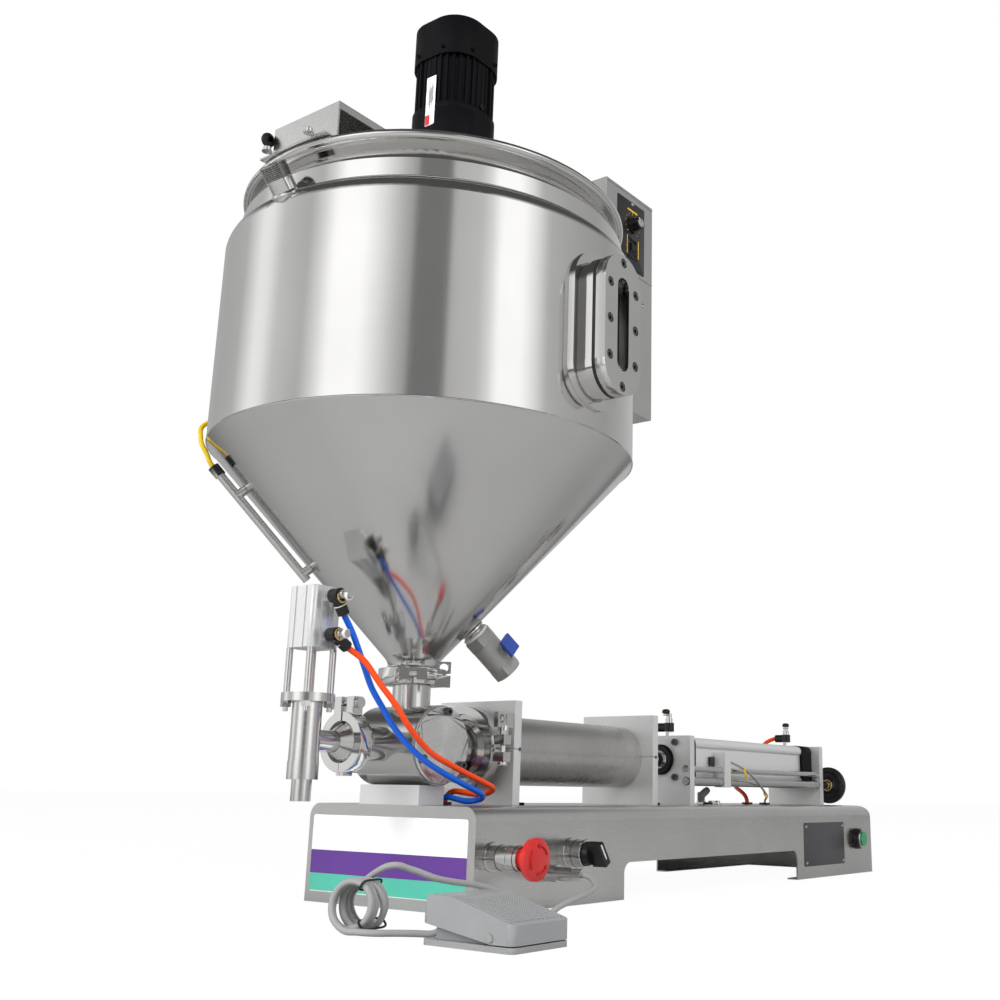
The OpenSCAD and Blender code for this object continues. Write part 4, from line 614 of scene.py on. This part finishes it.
def front_label():
    """White label with a purple and a teal band, without words."""
    bm = bmesh.new()
    m = front(1.5, 49.5, 0.05)
    add_prism(bm, rounded(219, 77, 2.5, 4), 0, 0.35, m, 0.1, 0)
    add_prism(bm, rounded(219, 23.5, 0.3, 1, 0, -8.8), 0.2, 0.42, m, 0, 1)
    add_prism(bm, rounded(219, 17.2, 0.3, 1, 0, -29.2), 0.2, 0.42, m, 0, 2)
    finish_mesh("front_label", bm, ["label", "purple", "teal"])


def name_plate():
    """Bare plate with a rivet in each corner."""
    bm = bmesh.new()
    x = 755
    z = 46.5
    add_prism(bm, rounded(135, 60, 3, 5), 0, 0.9, panel(x, z, 0.05), 0.25, 0)
    rivet = [(0, 2.2), (1.6, 2.0), (2.4, 1.2), (2.5, 0.8)]
    for dx in (-62, 62):
        for dz in (-25, 25):
            add_lathe(bm, rivet, panel(x + dx, z + dz), 16, 1)
    finish_mesh("name_plate", bm, ["plate_grey", "polished"])


def place(origin, axis, roll=UP):
    """At a point, with z along axis and x turned towards roll."""
    return frame_at(origin, roll, axis)


def hexagon(r):
    return [(r * math.cos(math.pi * i / 3), r * math.sin(math.pi * i / 3)) for i in range(6)]


def screw_head(bm, matrix, r, h, index=0):
    """Socket head: a chamfered drum with a six-sided recess, floored in the second material, which is
    painted shade in the socket when darker than the head.
    """
    drum = [(r * 0.55, h * 0.45), (r * 0.55, h), (r * 0.88, h), (r, h * 0.85), (r, 0)]
    add_lathe(bm, drum, matrix, 24, index)
    # The top of this plug is the recess's floor; a darker second material here is painted shade, not the
    # screw's own colour
    add_prism(bm, hexagon(r * 0.62), h * 0.3, h * 0.5, matrix, 0, 1)


def pan_head(bm, matrix, r, h, index=0):
    """Low domed head without a slot."""
    dome = [(0, h), (r * 0.5, h * 0.95), (r * 0.85, h * 0.6), (r, h * 0.1), (r, 0)]
    add_lathe(bm, dome, matrix, 24, index)


def ring(bm, matrix, inner, outer, low, high, edge=0.4, index=0, segments=48):
    """A flat ring with its outer rims chamfered."""
    profile = [
        (inner, low), (inner, high), (outer - edge, high), (outer, high - edge),
        (outer, low + edge), (outer - edge, low), (inner, low),
    ]
    add_lathe(bm, profile, matrix, segments, index)


def bead(bm, matrix, radius, thick, z, segments=96):
    """A round weld of the given radius."""
    sides = 8
    profile = [
        (radius + thick * math.cos(2 * math.pi * i / sides), z + thick * math.sin(2 * math.pi * i / sides))
        for i in range(sides + 1)
    ]
    add_lathe(bm, profile, matrix, segments)


def speed_panel():
    """Dark membrane of the speed controller with its dial marks and the rocker's bezel."""
    bm = bmesh.new()
    m = place((316, -60, 858.5), OUT, BACK)
    middle = 3
    add_prism(bm, rounded(66, 101, 2, 4), 0, 0.6, m, 0.15, 0)
    for x in (-9, 18):
        add_prism(bm, rounded(1.7, 27, 0.5, 2, x, -16), 0.5, 0.8, m, 0, 1)
    dial_r = 16.5
    dial = m @ Matrix.Translation((middle, 16.5, 0))
    for i in range(11):
        a = math.radians(-135 + 27 * i)
        turned = dial @ Matrix.Rotation(-a, 4, "Z") @ Matrix.Translation((0, dial_r, 0))
        add_prism(bm, rounded(0.8, 3.4 if i % 5 == 0 else 2.0, 0.2, 1), 0.5, 0.8, turned, 0, 1)
    add_prism(bm, rounded(24, 2.4, 0.4, 2, middle, 37), 0.5, 0.8, m, 0, 1)
    rocker_y = -19.5
    for x in (middle - 9.2, middle + 9.2):
        add_prism(bm, rounded(2.6, 29, 0.8, 3, x, rocker_y), 0.4, 2.2, m, 0.5, 2)
    for y in (rocker_y - 13.2, rocker_y + 13.2):
        add_prism(bm, rounded(21, 2.6, 0.8, 3, middle, y), 0.4, 2.2, m, 0.5, 2)
    pan_head(bm, m @ Matrix.Translation((middle, 48, 0.2)), 2.9, 2.0, 3)
    finish_mesh("speed_panel", bm, ["membrane", "yellow_mark", "black", "polished"])

    bm = bmesh.new()
    face = place((319, -75, 875), OUT, BACK)
    add_lathe(bm, [(0, 0.7), (6.0, 0.7), (6.6, 0.4), (6.7, -0.2)], face, 32, 0)
    mark = rounded(1.1, 5.4, 0.4, 2, 0, 5.2)
    add_prism(bm, mark, 0.6, 1.0, face @ Matrix.Rotation(0.9, 4, "Z"), 0, 1)
    finish_mesh("speed_knob_face", bm, ["polished", "white"], "speed")

    bm = bmesh.new()
    for z in (918.0, 803.0):
        seam = place((313.5, -60, z), OUT, BACK)
        add_prism(bm, rounded(112, 1.2, 0.4, 2, 0, 0), 0, 1.0, seam, 0.4, 0)
    pan_head(bm, place((347.6, -60, 765), OUT, BACK), 3.2, 2.2, 0)
    finish_mesh("control_box_trim", bm, ["satin"])


def motor_details():
    """Label, screws and grille of the stirrer's motor."""
    bm = bmesh.new()
    m = place((-27.0, -4.2, 905.5), AHEAD, OUT)
    add_prism(bm, rounded(14.5, 65, 1.2, 4), 0, 0.35, m, 0.1, 0)
    add_prism(bm, rounded(7, 13.5, 0.4, 2, -3.4, -25), 0.3, 0.45, m, 0, 1)
    for i in range(5):
        line = rounded(0.9, 30 if i % 2 else 21, 0.3, 1, 3.6 - 2.1 * i * 0.7, 9 - i)
        add_prism(bm, line, 0.3, 0.42, m, 0, 2)
    finish_mesh("motor_label", bm, ["label", "red", "plate_grey"])

    bm = bmesh.new()
    sides = (
        ((-28, 20), AHEAD), ((-28, -20), AHEAD), ((-2, -46), OUT), ((38, -46), OUT),
        ((64, 20), BACK), ((64, -20), BACK), ((-2, 46), FAR), ((38, 46), FAR),
    )
    for (x, y), axis in sides:
        screw_head(bm, place((x, y, 974), axis), 2.6, 1.6)
    screw_head(bm, place((18, -44.6, 906), OUT), 3.2, 2.0, 1)
    finish_mesh("motor_screws", bm, ["black_metal", "black"])

    bm = bmesh.new()
    top = place((18, 0, 1016), UP, BACK)
    half = 1.3
    gap = 0.12
    for r in (12, 18, 24, 30, 36):
        for i in range(8):
            start = i * math.pi / 4 + gap
            end = (i + 1) * math.pi / 4 - gap
            arc = [start + (end - start) * k / 6 for k in range(7)]
            back = [end - (end - start) * k / 6 for k in range(7)]
            outline = [((r + half) * math.cos(a), (r + half) * math.sin(a)) for a in arc]
            outline += [((r - half) * math.cos(a), (r - half) * math.sin(a)) for a in back]
            add_prism(bm, outline, 0, 1.2, top, 0.0, 0)
    add_lathe(bm, [(0, 1.4), (7, 1.4), (8, 0.6), (8, 0)], top, 32, 0)
    finish_mesh("fan_grille", bm, ["black_metal"])


# Height of the base, and the middles of the switches on its panel
BASE_TOP = 100
ESTOP = (3, 53)
SELECTOR = (130, 53)
START = (871, 51)


def base_details():
    """Bolts and air elbow on the base's top, rings and marks of its switches."""
    bm = bmesh.new()
    for x in (627, 644):
        m = place((x, 0, BASE_TOP), UP, BACK)
        ring(bm, m, 0.5, 6.0, 0, 1.0, 0.2, 0, 24)
        add_lathe(bm, [(0, 5.2), (3.4, 5.2), (4.4, 4.6), (4.6, 3.8), (4.6, 1.0)], m, 24, 0)
    finish_mesh("base_bolts", bm, ["polished"])

    bm = bmesh.new()
    m = place((612, 8, BASE_TOP), UP, BACK)
    add_prism(bm, hexagon(6.5), 0, 5, m, 0.8, 0)
    add_lathe(bm, [(5.0, 5), (5.4, 6), (5.4, 15), (4.6, 17), (0, 17.3)], m, 32, 1)
    out = place((612, 8, BASE_TOP + 12), (0.72, -0.35, 0.6))
    add_lathe(bm, [(0, -3), (5.2, 0), (5.2, 12), (4.8, 13), (3.0, 13), (3.0, 10)], out, 32, 1)
    ring(bm, out, 3.0, 4.4, 13, 15.4, 0.4, 2, 32)
    finish_mesh("air_elbow", bm, ["polished", "valve_grey", "collar_blue"])

    bm = bmesh.new()
    m = panel(*ESTOP)
    ring(bm, m, 12.0, 14.2, 0, 2.4, 0.6, 0)
    ring(bm, m, 11.9, 12.35, 12, 12.8, 0.1, 1)
    ring(bm, m, 11.9, 12.5, 24, 25.6, 0.2, 0)
    ring(bm, m, 11.9, 12.35, 33.5, 34.2, 0.1, 1)
    m = panel(*SELECTOR)
    ring(bm, m, 13.9, 15.6, 0, 2.2, 0.6, 0)
    ring(bm, m, 13.9, 14.3, 9, 9.8, 0.1, 1)
    ring(bm, m, 13.9, 14.6, 19, 21.5, 0.4, 0)
    m = panel(*START)
    ring(bm, m, 10.7, 13.6, 9.4, 11.2, 0.7, 0)
    ring(bm, m, 14.9, 15.6, 0, 1.6, 0.3, 2)
    finish_mesh("switch_rings", bm, ["polished", "dark_steel", "black"])

    bm = bmesh.new()
    m = panel(*ESTOP) @ Matrix.Translation((0, 0, 58.0))
    for k in range(3):
        start = math.radians(20 + 120 * k)
        arc = [start + math.radians(64) * i / 12 for i in range(13)]
        outline = [(13.6 * math.cos(a), 13.6 * math.sin(a)) for a in arc]
        outline += [(12.2 * math.cos(a), 12.2 * math.sin(a)) for a in reversed(arc)]
        add_prism(bm, outline, -0.8, 0.35, m, 0, 0)
        tip = m @ Matrix.Rotation(arc[-1] + 0.06, 4, "Z")
        add_prism(bm, [(15.6, -0.9), (12.9, 2.6), (10.2, -0.9)], -0.8, 0.35, tip, 0, 0)
    finish_mesh("estop_arrows", bm, ["dark_red"], "emergency_stop")

    bm = bmesh.new()
    m = panel(*SELECTOR) @ Matrix.Rotation(math.radians(35), 4, "Z") @ Matrix.Translation((0, 0, 44))
    add_prism(bm, rounded(1.8, 17, 0.5, 2, 0, 3.2), -0.2, 0.3, m, 0.1, 0)
    finish_mesh("selector_mark", bm, ["white"], "selector")


# Degrees round the hopper and from upright
INLET_AZIMUTH = 182
INLET_TILT = 42.5


def hopper_details():
    """Welds of the hopper, the thread of its inlet, and the bridge's knob and screws."""
    bm = bmesh.new()
    up = place((0, 0, 0), UP, BACK)
    bead(bm, up, 231.3, 0.8, 467.5)
    bead(bm, up, 217.9, 1.0, 699.2)
    bead(bm, up, 26.6, 0.8, 240.3, segments=64)
    az = math.radians(INLET_AZIMUTH)
    radial = Vector((math.cos(az), math.sin(az), 0))
    tilt = math.radians(INLET_TILT)
    axis = math.sin(tilt) * radial + Vector((0, 0, math.cos(tilt)))
    m = place(213.5 * radial + Vector((0, 0, 681)) + 18 * axis, axis, FAR)
    weld = [(13.1, -2.2), (15.2, -1.4), (15.4, -0.2), (14.4, 1.2), (13.1, 2.2)]
    add_lathe(bm, weld, m, 48, 0)
    pitch = 1.8
    profile = [(13.1, 14.5)]
    for i in range(8):
        low = 15 + pitch * i
        profile += [(13.3, low), (14.0, low + 0.7), (14.0, low + 1.1)]
    profile += [(13.2, 29.6), (12.4, 30.3), (10.1, 30.3), (10.1, 29)]
    add_lathe(bm, profile, m, 48, 1)
    finish_mesh("hopper_welds", bm, ["polished", "thread"])

    bm = bmesh.new()
    m = place((-206, 50, 784), FAR, BACK)
    knob = [(3, 0), (3, 2), (7.5, 2.6), (8, 5), (7.2, 7.4), (4, 8.4), (0, 8.6)]
    add_lathe(bm, knob, m, 32, 0)
    finish_mesh("bridge_knob", bm, ["black"])

    bm = bmesh.new()
    for x in (-223, 223):
        for y in (-32, 32):
            m = place((x, y, 754.6), UP, BACK)
            ring(bm, m, 0.5, 5.6, 0, 0.9, 0.2, 0, 24)
            screw_head(bm, m @ Matrix.Translation((0, 0, 0.8)), 4.2, 4.6)
    # Their dark steel lies only on the sockets' floors, as painted shade in the recesses of the polished
    # heads
    finish_mesh("bridge_screws", bm, ["polished", "dark_steel"])


def hose_details():
    """Release collars, needles and caps of the flow controls."""
    bm = bmesh.new()
    exits = ((HOSE_BLUE[0], (0.534, -0.027, -0.845)), (HOSE_ORANGE[0], (0.813, -0.194, -0.55)))
    for start, axis in exits:
        m = place(start, axis, FAR)
        ring(bm, m, 3.05, 6.3, -2.2, -0.9, 0.3, 0, 32)
        ring(bm, m, 3.05, 4.6, -1.0, 1.8, 0.5, 1, 32)
    for z in (294, 258):
        knob = place((-140, -18, z), OUT, BACK)
        ring(bm, knob, 4.7, 6.2, 19.5, 21, 0.3, 2, 32)
        ring(bm, knob, 3.5, 4.6, 27.5, 30.5, 0.6, 0, 32)
    for x in (504, 872):
        knob = place((x, 0, 192), UP, BACK)
        cap = [(3.0, 30), (5.2, 31), (5.6, 33), (5.2, 35), (3.4, 36.4), (0, 36.6)]
        add_lathe(bm, cap, knob, 32, 3)
        ring(bm, knob, 3.5, 4.4, 27.8, 29, 0.3, 2, 32)
    m = place(HOSE_REAR[0], FAR, BACK)
    ring(bm, m, 3.05, 4.6, -1, 1.8, 0.5, 1, 32)
    finish_mesh("flow_valve_trim", bm, ["white", "collar_blue", "brass", "black"])


# Degrees round the hopper, and the cone's rise for one step out
DRAIN_AZIMUTH = -25
CONE_SLOPE = 1.083721


def drain_details():
    """Sealing tape, weld and mouth ring of the drain valve, square to the cone."""
    az = math.radians(DRAIN_AZIMUTH)
    radial = Vector((math.cos(az), math.sin(az), 0))
    slope = math.atan(CONE_SLOPE)
    n = radial * math.sin(slope) - Vector((0, 0, math.cos(slope)))
    r = 38 + 29 / CONE_SLOPE
    m = place(r * radial + Vector((0, 0, 287)) - 2 * n, n)
    bm = bmesh.new()
    ring(bm, m, 11.0, 15.2, 8.4, 12.0, 0.5, 0)
    add_lathe(bm, [(11.0, 1.5), (14.6, 2.2), (14.6, 4.0), (12.6, 6.0), (11.0, 6.6)], m, 48, 1)
    ring(bm, m, 7.1, 15.6, 65.8, 66.8, 0.4, 2)
    finish_mesh("drain_rings", bm, ["white", "polished", "valve_grey"])


def wheel_details():
    """Brass hub of the handwheel."""
    bm = bmesh.new()
    m = place((938, -40, 131), AHEAD)
    ring(bm, m, 7.1, 9.4, -2.6, 1.6, 0.5, 0, 32)
    add_lathe(bm, [(10.0, -2.4), (12.6, -2.0), (12.6, -2.5)], m, 32, 1)
    finish_mesh("wheel_hub", bm, ["brass", "black"], "stroke_wheel")


def plate_details():
    """Rod gland and plugs of the plates, and tags on the sensor's lead."""
    bm = bmesh.new()
    plate_x = 491
    for z in (147.5, 131):
        ring(bm, place((plate_x, -40, z), AHEAD), 0.5, 5.0, 0, 0.8, 0.3, 0, 32)
    gland = place((plate_x, 0, 159.5), AHEAD)
    ring(bm, gland, 10.2, 12.4, 0, 7.2, 0.5, 0, 48)
    ring(bm, gland, 12.4, 15.2, 0, 6.6, 0.4, 1, 48)
    ring(bm, gland, 15.6, 18.6, 0, 6.3, 0.4, 1, 48)
    finish_mesh("front_gland", bm, ["polished", "rubber"])

    bm = bmesh.new()
    for x in (392, 116):
        ring(bm, place((x, -55.2, 159.5), OUT, BACK), 0.5, 2.2, 0, 0.4, 0.1, 0, 16)
    finish_mesh("plate_plugs", bm, ["dark_steel"])

    bm = bmesh.new()
    for spot, turn in (((716, -42.5, 120.5), 0.5), ((640, -51.5, 147), 0.9)):
        m = place(spot, (0.2, -1, 0.1), BACK) @ Matrix.Rotation(-turn, 4, "Z")
        tag = m @ Matrix.Translation((0, -6, 0))
        add_prism(bm, rounded(16, 8, 0.8, 2), -0.6, 0.6, tag, 0.1, 0)
    finish_mesh("cable_tags", bm, ["yellow"])


front_label()
name_plate()
speed_panel()
motor_details()
base_details()
hopper_details()
hose_details()
drain_details()
wheel_details()
plate_details()


# Floor, world and lights

# Half the floor's size in metres, its brightness for the camera, and the share of it
FLOOR_REACH = 14
FLOOR_GLOW = 1.06
FLOOR_SHARE = 0.91


def add_floor():
    """A white floor, which the camera sees as nearly shadowless and the steel sees as grey."""
    bm = bmesh.new()
    s = FLOOR_REACH
    verts = [bm.verts.new((x * s, y * s, 0)) for x, y in ((-1, -1), (1, -1), (1, 1), (-1, 1))]
    bm.faces.new(verts)
    mesh = bpy.data.meshes.new("floor")
    bm.to_mesh(mesh)
    bm.free()
    floor = bpy.data.objects.new("floor", mesh)
    bpy.context.scene.collection.objects.link(floor)
    m, n = blank_material("floor_white", (0.55, 0.55, 0.55), 0.0, 0.7)
    n.link(n.tint(n.noise(2.0), (0.53, 0.53, 0.53), (0.56, 0.56, 0.56)), n.shader.inputs["Base Color"])
    glow = n.add("ShaderNodeEmission", Strength=FLOOR_GLOW)
    seen = n.add("ShaderNodeLightPath")
    share = n.add("ShaderNodeMath", operation="MULTIPLY")
    share.inputs[1].default_value = FLOOR_SHARE
    n.link(seen.outputs["Is Camera Ray"], share.inputs[0])
    mix = n.add("ShaderNodeMixShader")
    n.link(share.outputs["Value"], mix.inputs[0])
    n.link(n.shader.outputs["BSDF"], mix.inputs[1])
    n.link(glow.outputs["Emission"], mix.inputs[2])
    n.link(mix.outputs["Shader"], n.tree.nodes["Material Output"].inputs["Surface"])
    floor.data.materials.append(m)


# The studio: its turn in degrees, the brightness of its ceiling and where that starts, as
# the height of a direction, and the brightness of its walls by the angle round the machine
STUDIO_TURN = -224.4
STUDIO_STRENGTH = 0.75
STUDIO_CEILING = 0.12
CEILING_START = 0.5
CEILING_FULL = 0.68
STUDIO_WALLS = [
    (-140, 0.65), (-120, 0.75), (-112, 1.1), (-104, 1.5), (-97, 1.45), (-88, 0.95), (-70, 0.75),
    (-62, 1.2), (-54, 1.85), (-38, 1.85), (-30, 1.45), (-20, 0.9), (-12.5, 0.6), (-10.5, 0.3),
    (6.5, 0.3), (9, 0.8), (24, 0.9), (30, 1.25), (35, 1.85), (48, 1.85), (57, 1.3), (64, 0.75),
    (84, 0.62), (110, 0.55), (150, 0.75),
]


def add_world():
    """A pale studio whose darker bands give the steel its contrast."""
    world = bpy.data.worlds.new("studio")
    bpy.context.scene.world = world
    world.use_nodes = True
    tree = world.node_tree
    tree.nodes.clear()
    add = tree.nodes.new
    link = tree.links.new
    coords = add("ShaderNodeTexCoord")
    turn = add("ShaderNodeVectorRotate")
    turn.rotation_type = "Z_AXIS"
    turn.inputs["Angle"].default_value = math.radians(STUDIO_TURN)
    link(coords.outputs["Generated"], turn.inputs["Vector"])
    parts = add("ShaderNodeSeparateXYZ")
    link(turn.outputs["Vector"], parts.inputs["Vector"])
    angle = add("ShaderNodeMath")
    angle.operation = "ARCTAN2"
    link(parts.outputs["Y"], angle.inputs[0])
    link(parts.outputs["X"], angle.inputs[1])
    share = add("ShaderNodeMapRange")
    share.inputs["From Min"].default_value = -math.pi
    share.inputs["From Max"].default_value = math.pi
    link(angle.outputs["Value"], share.inputs["Value"])
    ramp = add("ShaderNodeValToRGB")
    ramp.color_ramp.elements[0].position = 0
    ramp.color_ramp.elements[1].position = 1
    ramp.color_ramp.elements[0].color = (0.55, 0.55, 0.55, 1)
    ramp.color_ramp.elements[1].color = (0.6, 0.6, 0.6, 1)
    for degrees, value in STUDIO_WALLS:
        e = ramp.color_ramp.elements.new(degrees / 360 + 0.5)
        e.color = (value, value, value * 1.005, 1)
    link(share.outputs["Result"], ramp.inputs["Fac"])
    height = add("ShaderNodeMapRange")
    height.inputs["From Min"].default_value = CEILING_START
    height.inputs["From Max"].default_value = CEILING_FULL
    link(parts.outputs["Z"], height.inputs["Value"])
    sky = add("ShaderNodeMix")
    sky.data_type = "RGBA"
    colors = [s for s in sky.inputs if s.type == "RGBA"]
    colors[1].default_value = (STUDIO_CEILING, STUDIO_CEILING, STUDIO_CEILING, 1)
    link(height.outputs["Result"], sky.inputs["Factor"])
    link(ramp.outputs["Color"], colors[0])
    seen = add("ShaderNodeBackground")
    seen.inputs["Color"].default_value = (1, 1, 1, 1)
    seen.inputs["Strength"].default_value = 1.0
    studio = add("ShaderNodeBackground")
    studio.inputs["Strength"].default_value = STUDIO_STRENGTH
    link([s for s in sky.outputs if s.type == "RGBA"][0], studio.inputs["Color"])
    path = add("ShaderNodeLightPath")
    mix = add("ShaderNodeMixShader")
    link(path.outputs["Is Camera Ray"], mix.inputs["Fac"])
    link(studio.outputs["Background"], mix.inputs[1])
    link(seen.outputs["Background"], mix.inputs[2])
    out = add("ShaderNodeOutputWorld")
    link(mix.outputs["Shader"], out.inputs["Surface"])


def add_light(name, spot, target, size, power):
    """A soft panel that lights all but the reflections."""
    data = bpy.data.lights.new(name, "AREA")
    data.shape = "RECTANGLE"
    data.size, data.size_y = size
    data.energy = power
    light = bpy.data.objects.new(name, data)
    light.visible_glossy = False
    light.location = spot
    light.rotation_euler = (Vector(target) - Vector(spot)).to_track_quat("-Z", "Y").to_euler()
    bpy.context.scene.collection.objects.link(light)


bpy.context.scene.view_settings.view_transform = "Standard"
add_floor()
add_world()
add_light("key", (-1.6, -2.4, 2.6), (0.1, 0, 0.4), (1.6, 1.6), 70)
add_light("fill", (-3.0, 0.6, 1.8), (0.0, 0, 0.5), (1.4, 2.0), 75)
add_light("rear", (2.6, -1.4, 2.2), (0.4, 0, 0.3), (1.4, 1.4), 25)
